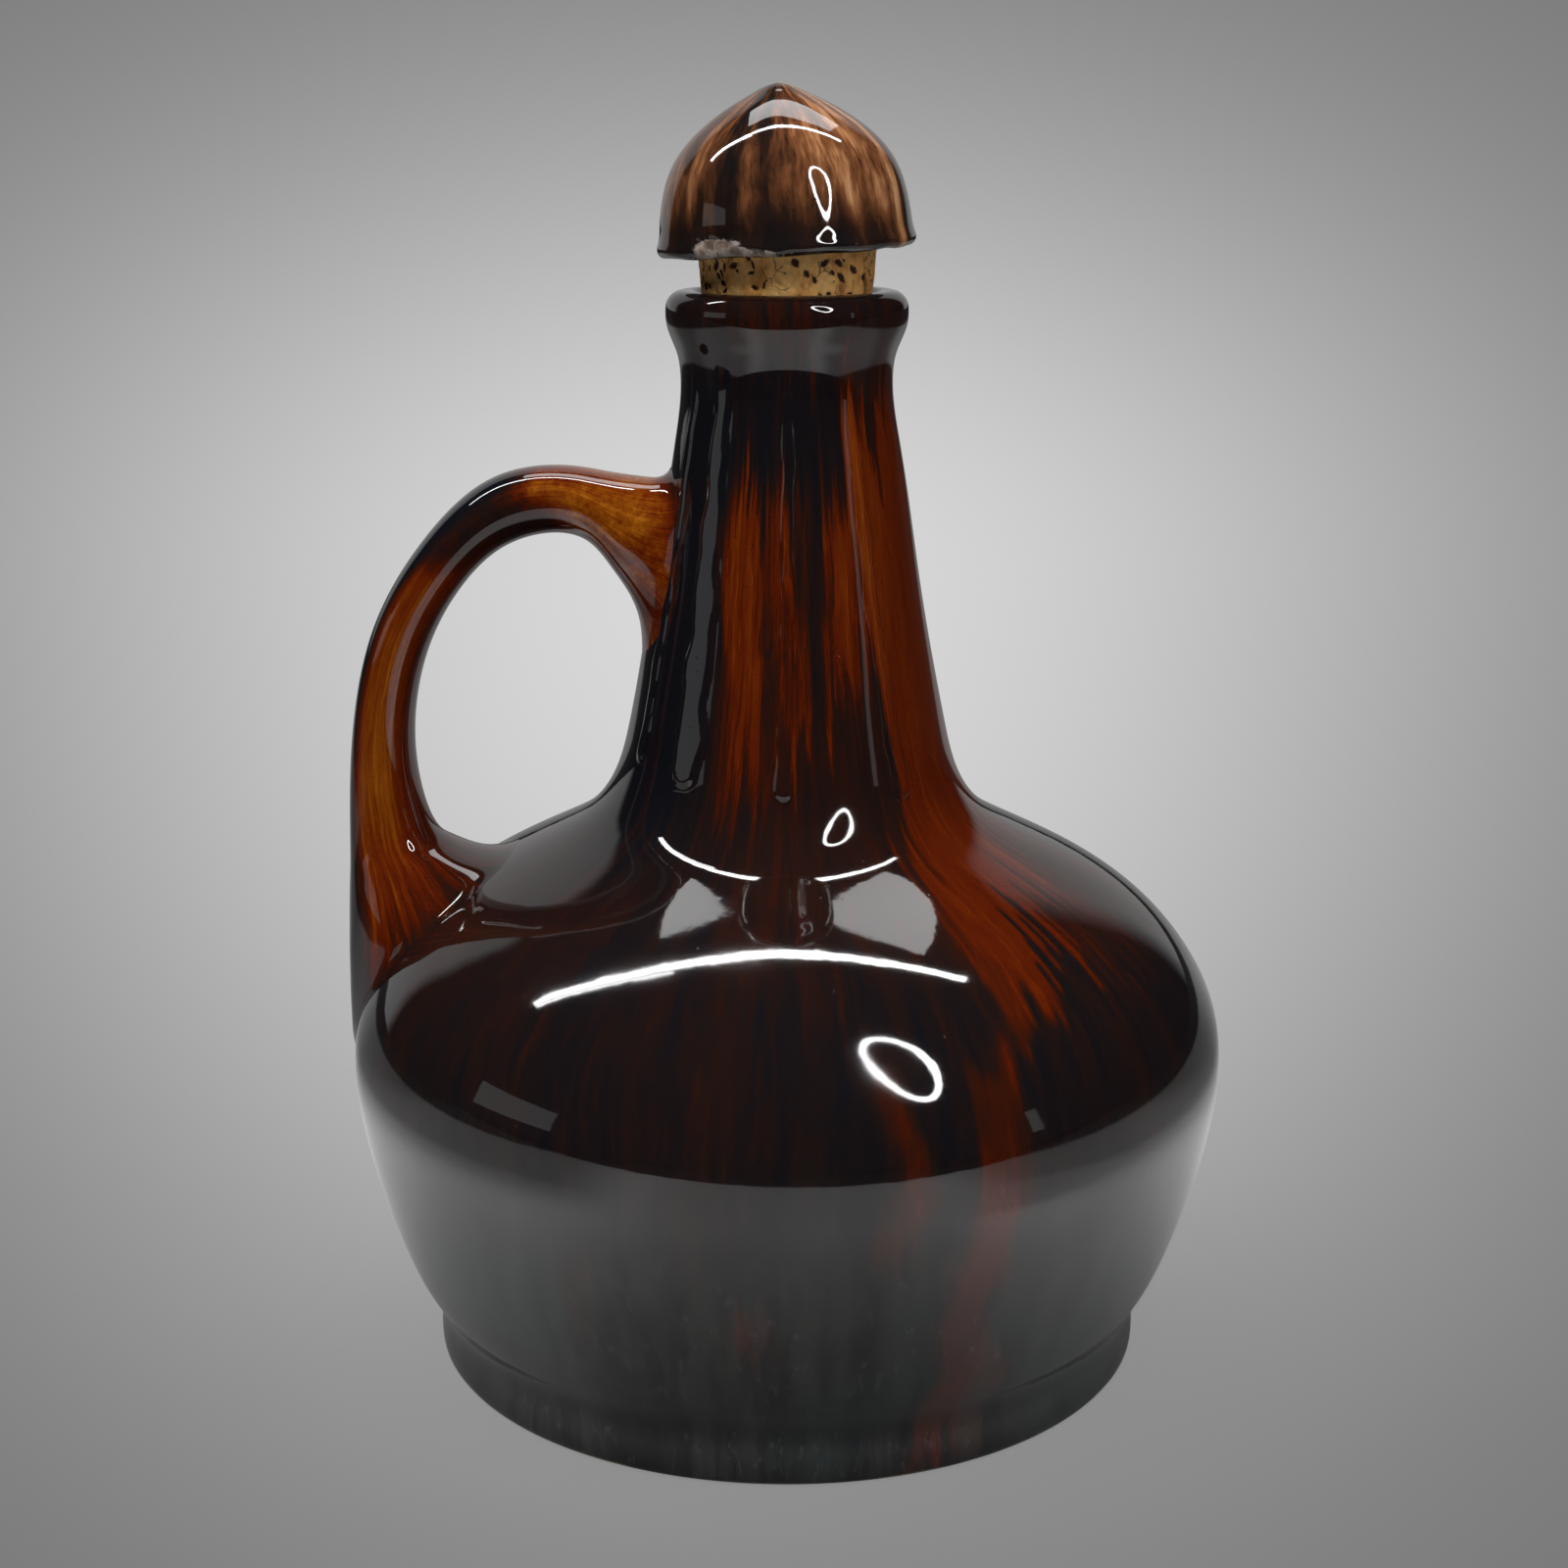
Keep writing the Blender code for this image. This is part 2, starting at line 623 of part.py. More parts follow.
def handle_rings():
    """The handle's cross-sections, from inside the neck to inside the belly."""
    rise = HANDLE_TOP_HEIGHT - HANDLE_FOOT_HEIGHT
    turns = [math.tau * k / HANDLE_SECTION_POINTS for k in range(HANDLE_SECTION_POINTS)]
    power = 2 / HANDLE_SECTION_POWER
    rings = []
    for outer_out, outer_up, inner_out, inner_up, wide in on_curve(HANDLE_EDGE_SHARES, 2):
        outer = Vector((-outer_out * BELLY_RADIUS, HANDLE_FOOT_HEIGHT + outer_up * rise))
        inner = Vector((-inner_out * BELLY_RADIUS, HANDLE_FOOT_HEIGHT + inner_up * rise))
        middle, reach = (outer + inner) / 2, (outer - inner) / 2
        ring = []
        for turn in turns:
            across = math.copysign(abs(math.cos(turn)) ** power, math.cos(turn))
            aside = math.copysign(abs(math.sin(turn)) ** power, math.sin(turn)) * wide * HANDLE_WIDTH / 2
            point = middle + reach * across
            ring.append((point.x, aside, point.y))
        rings.append(ring)
    return rings


def make_handle():
    """The strap handle, shaped at both ends to the jug's surface."""
    handle = solid("handle", skinned(handle_rings()), finishes["glaze"])
    surface = beside(outer_curve(), -SEAT_GAP)
    filled = [(0, surface[0][1]), *surface, (surface[-1][0], JUG_HEIGHT), (0, JUG_HEIGHT)]
    return combine(handle, helper("handle_seat", turned(filled, JUG_STEPS)), "DIFFERENCE")


def make_stopper():
    """The cork, and the pointed glazed cap that is glued on it a little askew."""
    stopper = empty("stopper", (0, 0, JUG_HEIGHT + CORK_SHOWN))
    top, bottom = CORK_IN_CAP, CORK_IN_CAP - CORK_LENGTH
    cork = [
        (0, bottom),
        (CORK_END_RADIUS - CORK_CHAMFER, bottom),
        (CORK_END_RADIUS, bottom + CORK_CHAMFER),
        (CORK_RADIUS, top - CORK_CHAMFER),
        (CORK_RADIUS - CORK_CHAMFER, top),
        (0, top),
    ]
    solid("cork", turned(cork, JUG_STEPS), finishes["cork"], parent=stopper)

    rim = CORK_RADIUS + CAP_RIM_WIDTH
    dome = [(rim - CAP_RIM_EDGE, 0), (rim, CAP_RIM_EDGE)]
    dome += [(rim * r, CAP_HEIGHT * z) for r, z in CAP_OUTLINE_SHARES]
    hollow_top = CAP_HEIGHT - 2 * CAP_WALL
    hollow = [
        (0, hollow_top),
        (CAP_HOLLOW_RADIUS / 2, hollow_top - CAP_WALL / 3),
        (CAP_HOLLOW_RADIUS, hollow_top / 2),
        (CAP_HOLLOW_RADIUS, 0),
    ]
    outline = [*hollow, *dome, (0, CAP_HEIGHT)]
    tilt = (0, CAP_TILT, 0)
    cap = solid("stopper_cap", turned(outline, JUG_STEPS), finishes["cap"], turn=tilt, parent=stopper)
    socket = rod(CORK_RADIUS + SEAT_GAP, -rim, CORK_IN_CAP + SEAT_GAP, JUG_STEPS)
    return combine(cap, helper("cork_socket", socket, parent=stopper), "DIFFERENCE")


def screw(radius, length):
    """A round-head screw along Z: the head's seat is at height 0, its dome is below, and its shank above."""
    outline = [
        (0, -SCREW_HEAD_HEIGHT),
        (SCREW_HEAD_RADIUS * 0.6, -SCREW_HEAD_HEIGHT * 0.85),
        (SCREW_HEAD_RADIUS, -SCREW_HEAD_HEIGHT * 0.3),
        (SCREW_HEAD_RADIUS, 0),
        (radius, 0),
        (radius, length - radius),
        (0, length),
    ]
    return turned(outline, SCREW_STEPS)


def make_screw(name, radius, length, place, turn=(0, 0, 0)):
    """A screw as a piece, with its slot cut."""
    made = solid(name, screw(radius, length), finishes["brass"], place, turn)
    reach = SCREW_HEAD_RADIUS + CUT_OVERRUN
    low = (-reach, -SLOT_WIDTH / 2, -SCREW_HEAD_HEIGHT - CUT_OVERRUN)
    high = (reach, SLOT_WIDTH / 2, SLOT_DEPTH - SCREW_HEAD_HEIGHT)
    return combine(made, helper(f"{name}_slot", block(low, high), place, turn), "DIFFERENCE")


def movement_screw_places():
    """The bedplate's fixings to the board: two beside the mainspring, one beyond the comb."""
    inset = MOVEMENT_SCREW_INSET
    return [
        (bed_left + inset, bed_front + inset),
        (bed_left + inset, bed_back - inset),
        (bed_right - inset, bed_front + inset),
    ]


def make_board():
    """The board that closes the recess, its screws, and their anchors in the foot."""
    board = solid("base_board", rod(board_radius, board_bottom, board_top, JUG_STEPS), finishes["board"])
    low, high = board_bottom - CUT_OVERRUN, board_top + CUT_OVERRUN
    screw_holes = [(BOARD_SCREW_RADIUS, x, y) for x, y in board_screw_places()]
    screw_holes += [(MOVEMENT_SCREW_RADIUS, x, y) for x, y in movement_screw_places()]
    screw_holes.append((BRACKET_SCREW_RADIUS, *bracket_screw_place))
    holes = [*screw_holes, (ARBOR_RADIUS, 0, 0), (GUIDE_RADIUS, worm_x, plunger_y)]
    cutters = [moved(rod(radius + SEAT_GAP, low, high), (x, y, 0)) for radius, x, y in holes]
    combine(board, helper("board_holes", together(cutters)), "DIFFERENCE")

    seat = board_bottom - SEAT_GAP
    for number, (x, y) in enumerate(board_screw_places(), 1):
        anchor = sleeve(BOARD_SCREW_RADIUS + RUN_GAP, ANCHOR_RADIUS, 0, ANCHOR_LENGTH, SCREW_STEPS)
        solid(f"screw_anchor_{number}", anchor, finishes["fibre"], (x, y, ledge_height))
        length = BOARD_THICKNESS + 2 * SEAT_GAP + BOARD_SCREW_BITE
        make_screw(f"board_screw_{number}", BOARD_SCREW_RADIUS, length, (x, y, seat))
    for number, (x, y) in enumerate(movement_screw_places(), 1):
        length = bed_top - seat + MOVEMENT_SCREW_RADIUS
        make_screw(f"movement_screw_{number}", MOVEMENT_SCREW_RADIUS, length, (x, y, seat))
    return board


def make_bedplate():
    """The steel plate that carries the movement, with holes for its screws and for rivets."""
    outline = rounded_rectangle(bed_left, bed_right, bed_front, bed_back, BED_CORNER)
    bed = solid("bedplate", prism(outline, bed_bottom, bed_top), finishes["steel"])
    low, high = bed_bottom - CUT_OVERRUN, bed_top + CUT_OVERRUN
    holes = [(MOVEMENT_SCREW_RADIUS, x, y) for x, y in movement_screw_places()]
    holes += [(RIVET_RADIUS, x, y) for places in rivet_places.values() for x, y in places]
    holes.append((ARBOR_RADIUS, 0, 0))
    cutters = [moved(rod(radius + RUN_GAP, low, high, SCREW_STEPS), (x, y, 0)) for radius, x, y in holes]
    return combine(bed, helper("bedplate_holes", together(cutters)), "DIFFERENCE")


def rivet_down(piece):
    """Joins the piece's rivets to its foot. They fill holes in the bedplate."""
    start, end = bed_bottom, floor_height + RIVET_ROOT
    places = rivet_places[piece.name]
    rivets = [moved(rod(RIVET_RADIUS, start, end, SCREW_STEPS), (x, y, 0)) for x, y in places]
    return combine(piece, helper(f"{piece.name}_rivets", together(rivets)), "UNION")


def spiral_strip(inner, outer, turns, bottom, top):
    """A flat strip wound in a spiral about Z."""
    steps = turns * SPIRAL_STEPS
    half = SPRING_THICKNESS / 2
    rings = []
    for i in range(steps + 1):
        radius, angle = inner + (outer - inner) * i / steps, math.tau * turns * i / steps
        c, s = math.cos(angle), math.sin(angle)
        near, far = radius - half, radius + half
        corners = [(near, bottom), (far, bottom), (far, top), (near, top)]
        rings.append([(r * c, r * s, z) for r, z in corners])
    return skinned(rings)


def crown_shape():
    """The crown wheel: a disc with a rim of upright teeth. A gap between two teeth faces +X."""
    pitch = math.tau / CROWN_TEETH
    lean = math.tan(PRESSURE_ANGLE) / crown_radius
    half_pitch_tooth = pitch * CROWN_TOOTH_SHARE / 2
    half_root = half_pitch_tooth + crown_dedendum * lean
    half_tip = half_pitch_tooth - crown_addendum * lean
    root, tip = CROWN_WEB, CROWN_WEB + crown_dedendum + crown_addendum
    stations = []
    for tooth in range(CROWN_TEETH):
        middle = (tooth + 0.5) * pitch
        stations += [
            (middle - half_root, root),
            (middle - half_tip, tip),
            (middle + half_tip, tip),
            (middle + half_root, root),
        ]
    shape = bmesh.new()
    rows = []
    for angle, height in stations:
        corners = [
            (crown_inner_radius, CROWN_WEB / 2),
            (crown_inner_radius, height),
            (crown_outer_radius, height),
            (crown_outer_radius, 0),
        ]
        rows.append([shape.verts.new((r * math.cos(angle), r * math.sin(angle), z)) for r, z in corners])
    for near, far in zip(rows, rows[1:] + rows[:1]):
        for k in range(3):
            shape.faces.new((near[k], far[k], far[k + 1], near[k + 1]))
    shape.faces.new([row[0] for row in rows])
    shape.faces.new([row[3] for row in rows[::-1]])
    return shape


def gear_outline(teeth, module, tooth_share, phase=0.0):
    """A spur gear's outline, with a tooth centred at the phase angle."""
    radius, pitch = teeth * module / 2, math.tau / teeth
    lean = math.tan(PRESSURE_ANGLE) / radius
    addendum, dedendum = GEAR_ADDENDUM_SHARE * module, GEAR_DEDENDUM_SHARE * module
    half = pitch * tooth_share / 2
    half_tip = max(half - addendum * lean, pitch * 0.05)
    half_root = min(half + dedendum * lean / 2, pitch * 0.4)
    corners = (
        (-half_root, radius - dedendum),
        (-half_tip, radius + addendum),
        (half_tip, radius + addendum),
        (half_root, radius - dedendum),
    )
    middles = [phase + tooth * pitch for tooth in range(teeth)]
    return [(r * math.cos(middle + a), r * math.sin(middle + a)) for middle in middles for a, r in corners]


def bored(piece, bore, low, high, turn=(0, 0, 0)):
    """Cuts a round hole along the piece's own Z axis."""
    hole = rod(bore, low - CUT_OVERRUN, high + CUT_OVERRUN)
    return combine(piece, helper(f"{piece.name}_bore", hole, piece.location, turn), "DIFFERENCE")


def make_spring_drive():
    """The spring housing, the mainspring, the winding arbor with its crown wheel, and the key below."""
    bore = ARBOR_RADIUS + RUN_GAP
    inside = HOUSING_RADIUS - HOUSING_WALL
    cup = [
        (bore, 0),
        (HOUSING_RADIUS, 0),
        (HOUSING_RADIUS, HOUSING_HEIGHT),
        (inside, HOUSING_HEIGHT),
        (inside, HOUSING_WALL),
        (bore, HOUSING_WALL),
    ]
    housing = solid("spring_housing", turned(cup, ROUND_STEPS), finishes["zinc"], (0, 0, floor_height))
    rivet_down(housing)
    inner = ARBOR_RADIUS + SPRING_INNER_GAP
    outer = inside - SEAT_GAP - SPRING_THICKNESS
    strip = spiral_strip(inner, outer, SPRING_TURNS, HOUSING_WALL + SEAT_GAP, HOUSING_HEIGHT - HOUSING_WALL)
    solid("mainspring", strip, finishes["blued"], (0, 0, floor_height))

    tail = -(crown_bottom - board_bottom + ARBOR_TAIL)
    arbor_top = CROWN_WEB + crown_dedendum
    outline = [
        (0, tail),
        (ARBOR_RADIUS - RUN_GAP, tail),
        (ARBOR_RADIUS, tail + ARBOR_RADIUS),
        (ARBOR_RADIUS, arbor_top - RUN_GAP),
        (ARBOR_RADIUS - RUN_GAP, arbor_top),
        (0, arbor_top),
    ]
    place = (0, 0, crown_bottom)
    solid("winding_arbor", turned(outline, SMALL_STEPS), finishes["steel"], place)
    bored(solid("crown_wheel", crown_shape(), finishes["brass"], place), bore, 0, arbor_top)
    make_key()


def make_key():
    """The butterfly key, on the tail of the winding arbor."""
    place = (0, 0, board_bottom - SEAT_GAP)
    hub = sleeve(ARBOR_RADIUS + RUN_GAP, KEY_HUB_RADIUS, -KEY_HUB_HEIGHT, 0, SMALL_STEPS)
    key = solid("winding_key", hub, finishes["brass"], place)
    inner = (ARBOR_RADIUS + KEY_HUB_RADIUS) / 2
    rise = KEY_WING_HEIGHT / 2
    middle = -SEAT_GAP - rise
    bow = arc((KEY_SPAN / 2 - rise, middle), rise, -KEY_BOW_ANGLE, KEY_BOW_ANGLE, 8)
    wings = []
    for side in (1, -1):
        outline = [(inner, middle + rise / 8), (inner, middle - rise / 2), *bow]
        corners = [(side * x, -KEY_THICKNESS / 2, z) for x, z in outline]
        wings.append(extruded(corners, (0, KEY_THICKNESS, 0)))
    return combine(key, helper("key_wings", together(wings), place), "UNION")


def comb_outline():
    """The comb seen from above: a back strip with teeth that grow longer towards the bass end."""
    pitch = (CYLINDER_LENGTH - COMB_SLOT) / COMB_TEETH
    outline = [(cylinder_start, comb_back)]
    for tooth in range(COMB_TEETH):
        left = cylinder_start + COMB_SLOT + tooth * pitch
        right = left + pitch - COMB_SLOT
        root = comb_root - tooth * COMB_TOOTH_STEP
        if tooth == 0:
            left = cylinder_start
        else:
            outline += [(left - COMB_SLOT, root), (left, root)]
        outline += [(left, comb_tip), (right, comb_tip)]
    return [(outline[-1][0], comb_back), *outline]


def cylinder_pins():
    """The cylinder's pins: a few in each tooth's track, at angles that follow a simple rule."""
    pitch = (CYLINDER_LENGTH - COMB_SLOT) / COMB_TEETH
    half = PIN_WIDTH / 2
    square = [(-half, -half), (half, -half), (half, half), (-half, half)]
    pins = []
    for track in range(COMB_TEETH):
        along = cylinder_start + COMB_SLOT / 2 + (track + 0.5) * pitch
        for number in range(PINS_PER_TRACK):
            angle = math.tau * ((track * 7 + 1) % COMB_TEETH / COMB_TEETH + number / PINS_PER_TRACK)
            c, s = math.cos(angle), math.sin(angle)
            rings = [
                [(r * c - u * s, r * s + u * c, along + v) for u, v in square]
                for r in (CYLINDER_RADIUS - PIN_HEIGHT, CYLINDER_RADIUS + PIN_HEIGHT * 0.9)
            ]
            pins.append(skinned(rings))
    return together(pins)


def make_post(name, start, foot_from, foot_to):
    """A bearing post for the cylinder's arbor, with a foot that is riveted to the bedplate."""
    half = POST_WIDTH / 2
    outline = [(half, floor_height), *arc((0, cylinder_height), half, 0, 180, 6), (-half, floor_height)]
    corners = [(start, y, z) for y, z in outline]
    post = solid(name, extruded(corners, (POST_THICKNESS, 0, 0)), finishes["zinc"])
    foot = block((foot_from, -half, floor_height), (foot_to, half, floor_height + POST_THICKNESS))
    combine(post, helper(f"{name}_foot", foot), "UNION")
    bore = rod(CYLINDER_ARBOR_RADIUS + RUN_GAP, start - CUT_OVERRUN, start + POST_THICKNESS + CUT_OVERRUN)
    combine(post, helper(f"{name}_bore", bore, (0, 0, cylinder_height), ALONG_X), "DIFFERENCE")
    return rivet_down(post)


def make_cylinder():
    """The pinned cylinder with its arbor, gears and posts."""
    place = (0, 0, cylinder_height)
    bore = CYLINDER_ARBOR_RADIUS + RUN_GAP
    shell = sleeve(bore, CYLINDER_RADIUS, cylinder_start, cylinder_end, ROUND_STEPS)
    cylinder = solid("pinned_cylinder", shell, finishes["brass"], place, ALONG_X)
    combine(cylinder, helper("cylinder_pins", cylinder_pins(), place, ALONG_X), "UNION")
    arbor = rod(CYLINDER_ARBOR_RADIUS, pinion_start - SEAT_GAP, right_post_end + POST_GAP)
    solid("cylinder_arbor", arbor, finishes["steel"], place, ALONG_X)

    # Angle 0 of an outline points down here, so a leaf of the pinion stands in the crown wheel's gap
    leaves = prism(gear_outline(PINION_LEAVES, CROWN_MODULE, PINION_TOOTH_SHARE), pinion_start, pinion_end)
    pinion = solid("cylinder_pinion", leaves, finishes["steel"], place, ALONG_X)
    bored(pinion, bore, pinion_start, pinion_end, ALONG_X)
    towards_governor = math.atan2(governor_reach, governor_drop)
    teeth = gear_outline(DRIVE_GEAR_TEETH, DRIVE_MODULE, GEAR_TOOTH_SHARE, towards_governor)
    wheel = prism(teeth, drive_gear_start, drive_gear_end)
    gear = solid("drive_gear", wheel, finishes["brass"], place, ALONG_X)
    bored(gear, bore, drive_gear_start, drive_gear_end, ALONG_X)

    make_post("cylinder_post_inner", left_post_start, left_post_end - POST_THICKNESS / 2, inner_foot_end)
    make_post("cylinder_post_outer", right_post_start, right_post_start + POST_THICKNESS / 2, outer_foot_end)


def make_comb():
    """The tuned comb, the block that carries it, and its two screws."""
    outline = comb_outline()
    left, right = cylinder_start, outline[0][0]
    comb = solid("comb", prism(outline, comb_bottom, comb_top), finishes["steel"])
    block_shape = block((left, comb_back, floor_height), (right, comb_block_front, comb_bottom - SEAT_GAP))
    base = solid("comb_base", block_shape, finishes["zinc"])
    screw_y = (comb_back + comb_block_front) / 2
    quarter = (right - left) / 4
    seat = comb_top + SEAT_GAP
    reach = COMB_THICKNESS + 2 * SEAT_GAP + COMB_SCREW_BITE
    comb_holes, base_holes = [], []
    for number, x in enumerate((left + quarter, right - quarter), 1):
        comb_hole = rod(COMB_SCREW_RADIUS + SEAT_GAP, comb_bottom - CUT_OVERRUN, comb_top + CUT_OVERRUN)
        base_hole = rod(COMB_SCREW_RADIUS + RUN_GAP, seat - reach - SEAT_GAP, comb_top)
        comb_holes.append(moved(comb_hole, (x, screw_y, 0)))
        base_holes.append(moved(base_hole, (x, screw_y, 0)))
        make_screw(f"comb_screw_{number}", COMB_SCREW_RADIUS, reach, (x, screw_y, seat), UPSIDE_DOWN)
    combine(comb, helper("comb_holes", together(comb_holes)), "DIFFERENCE")
    combine(base, helper("comb_base_holes", together(base_holes)), "DIFFERENCE")
    rivet_down(base)


def worm_shape(bottom, top):
    """The worm and its shaft along Z: one section that turns once in each lead."""
    root = WORM_RADIUS - WORM_DEDENDUM_SHARE * WORM_MODULE
    tip = WORM_RADIUS + WORM_ADDENDUM_SHARE * WORM_MODULE
    crest, flank = WORM_CREST_SHARE / 2, WORM_FLANK_SHARE
    root_share = 1 - 2 * (crest + flank)
    section = [(-crest, tip), (crest, tip), (crest + flank, root)]
    section += [(crest + flank + root_share * k / 4, root) for k in (1, 2, 3)]
    section.append((-crest - flank, root))

    def ring(height, turn, radii):
        """One cross-section: the thread's crest faces -Y where the turn is 0."""
        angles = [turn + math.tau * share - math.pi / 2 for share, _ in section]
        return [(r * math.cos(angle), r * math.sin(angle), height) for angle, r in zip(angles, radii)]

    steps = int(WORM_TURNS * WORM_STEPS)
    half_length, half_turn = WORM_TURNS * worm_lead / 2, WORM_TURNS * math.pi
    thread = [radius for _, radius in section]
    shaft = [WORM_SHAFT_RADIUS] * len(section)
    rings = [ring(bottom, -half_turn, shaft), ring(-half_length, -half_turn, shaft)]
    for i in range(steps + 1):
        share = 2 * i / steps - 1
        rings.append(ring(half_length * share, half_turn * share, thread))
    rings += [ring(half_length, half_turn, shaft), ring(top, half_turn, shaft)]
    return skinned(rings)


def make_governor_train():
    """The governor's pinion on its arbor, the worm wheel, and the worm on its upright shaft."""
    place = (0, governor_reach, governor_height)
    # A gap of the pinion faces the drive gear
    towards_drive_gear = math.atan2(-governor_reach, -governor_drop)
    phase = towards_drive_gear + math.pi / PINION_LEAVES
    leaf_outline = gear_outline(PINION_LEAVES, DRIVE_MODULE, PINION_TOOTH_SHARE, phase)
    leaves = prism(leaf_outline, drive_gear_start, drive_gear_end)
    pinion = solid("governor_pinion", leaves, finishes["steel"], place, ALONG_X)
    arbor = rod(GOVERNOR_ARBOR_RADIUS, left_cheek_start, drive_gear_end)
    combine(pinion, helper("governor_arbor", arbor, place, ALONG_X), "UNION")
    # A gap of the worm wheel faces the worm, on its +Y side
    phase = math.pi / 2 + math.pi / WORM_WHEEL_TEETH
    teeth = gear_outline(WORM_WHEEL_TEETH, WORM_MODULE, PINION_TOOTH_SHARE, phase)
    wheel_start, wheel_end = worm_x - WORM_FACE / 2, worm_x + WORM_FACE / 2
    wheel = solid("worm_wheel", prism(teeth, wheel_start, wheel_end), finishes["brass"], place, ALONG_X)
    bored(wheel, GOVERNOR_ARBOR_RADIUS + RUN_GAP, wheel_start, wheel_end, ALONG_X)

    bottom = floor_height + POST_THICKNESS / 2 - governor_height
    top = jewel_bottom + JEWEL_HEIGHT / 2 - governor_height
    solid("worm_shaft", worm_shape(bottom, top), finishes["steel"], (worm_x, worm_y, governor_height))


def make_air_brake():
    """The air brake on the worm's shaft: two vanes, and the disc that the stop lever presses."""
    place = (worm_x, worm_y, brake_bottom)
    shaft = WORM_SHAFT_RADIUS + RUN_GAP
    outline = [
        (shaft, 0),
        (BRAKE_HUB_RADIUS, 0),
        (BRAKE_HUB_RADIUS, BRAKE_VANE_HEIGHT),
        (BRAKE_DISC_RADIUS, BRAKE_VANE_HEIGHT),
        (BRAKE_DISC_RADIUS, BRAKE_VANE_HEIGHT + BRAKE_DISC_THICKNESS),
        (shaft, BRAKE_VANE_HEIGHT + BRAKE_DISC_THICKNESS),
    ]
    brake = solid("air_brake", turned(outline, SMALL_STEPS), finishes["brass"], place)
    root, half = (shaft + BRAKE_HUB_RADIUS) / 2, BRAKE_VANE_THICKNESS / 2
    low, high = RUN_GAP, BRAKE_VANE_HEIGHT - RUN_GAP
    vanes = [
        block((root, -half, low), (BRAKE_VANE_RADIUS, half, high)),
        block((-BRAKE_VANE_RADIUS, -half, low), (-root, half, high)),
    ]
    return combine(brake, helper("brake_vanes", together(vanes), place), "UNION")


def make_governor_frame():
    """The casting that holds the governor's two arbors, and the jewel that the worm's shaft turns in."""
    shaft = WORM_SHAFT_RADIUS + RUN_GAP
    jewel = [
        (0, JEWEL_HEIGHT / 2 + RUN_GAP),
        (shaft, JEWEL_HEIGHT / 2 + RUN_GAP),
        (shaft, 0),
        (JEWEL_RADIUS, 0),
        (JEWEL_RADIUS, JEWEL_HEIGHT),
        (0, JEWEL_HEIGHT),
    ]
    solid("jewel", turned(jewel, SMALL_STEPS), finishes["jewel"], (worm_x, worm_y, jewel_bottom))

    foot_top = floor_height + POST_THICKNESS
    foot = block((left_cheek_start, frame_front, floor_height), (right_cheek_end, frame_back, foot_top))
    frame = solid("governor_frame", foot, finishes["zinc"])
    root = floor_height + POST_THICKNESS / 2
    cheek_top = governor_height + 2 * GOVERNOR_ARBOR_RADIUS + POST_THICKNESS
    short_back = governor_reach + CHEEK_DEPTH / 2
    arm_start, arm_end = left_cheek_end - CHEEK_THICKNESS / 2, worm_x + JEWEL_RADIUS + CHEEK_THICKNESS
    short_cheek = block((right_cheek_start, frame_front, root), (right_cheek_end, short_back, cheek_top))
    tall_cheek = block((left_cheek_start, frame_front, root), (left_cheek_end, frame_back, arm_top))
    arm = block((arm_start, worm_y - CHEEK_DEPTH / 2, arm_bottom), (arm_end, frame_back, arm_top))
    for name, shape in (("short_cheek", short_cheek), ("tall_cheek", tall_cheek), ("arm", arm)):
        combine(frame, helper(f"frame_{name}", shape), "UNION")

    bore = rod(GOVERNOR_ARBOR_RADIUS + RUN_GAP, left_cheek_start - CUT_OVERRUN, right_cheek_end + CUT_OVERRUN)
    place = (0, governor_reach, governor_height)
    combine(frame, helper("frame_arbor_bore", bore, place, ALONG_X), "DIFFERENCE")
    pivot = rod(shaft, floor_height + POST_THICKNESS / 3, foot_top + CUT_OVERRUN)
    seat = rod(JEWEL_RADIUS + RUN_GAP, arm_bottom - CUT_OVERRUN, arm_top + CUT_OVERRUN)
    pivots = moved(together([pivot, seat]), (worm_x, worm_y, 0))
    combine(frame, helper("frame_pivots", pivots), "DIFFERENCE")
    return rivet_down(frame)


def coil_spring(bottom, top):
    """The plunger's open coil spring along Z, as one tube."""
    steps = COIL_TURNS * COIL_STEPS
    low, high = bottom + COIL_WIRE, top - COIL_WIRE
    sides = [math.tau * k / COIL_SIDES for k in range(COIL_SIDES)]
    rings = []
    for i in range(steps + 1):
        angle, height = math.tau * COIL_TURNS * i / steps, low + (high - low) * i / steps
        section = [(COIL_RADIUS + COIL_WIRE * math.cos(a), height + COIL_WIRE * math.sin(a)) for a in sides]
        rings.append([(r * math.cos(angle), r * math.sin(angle), z) for r, z in section])
    return skinned(rings)


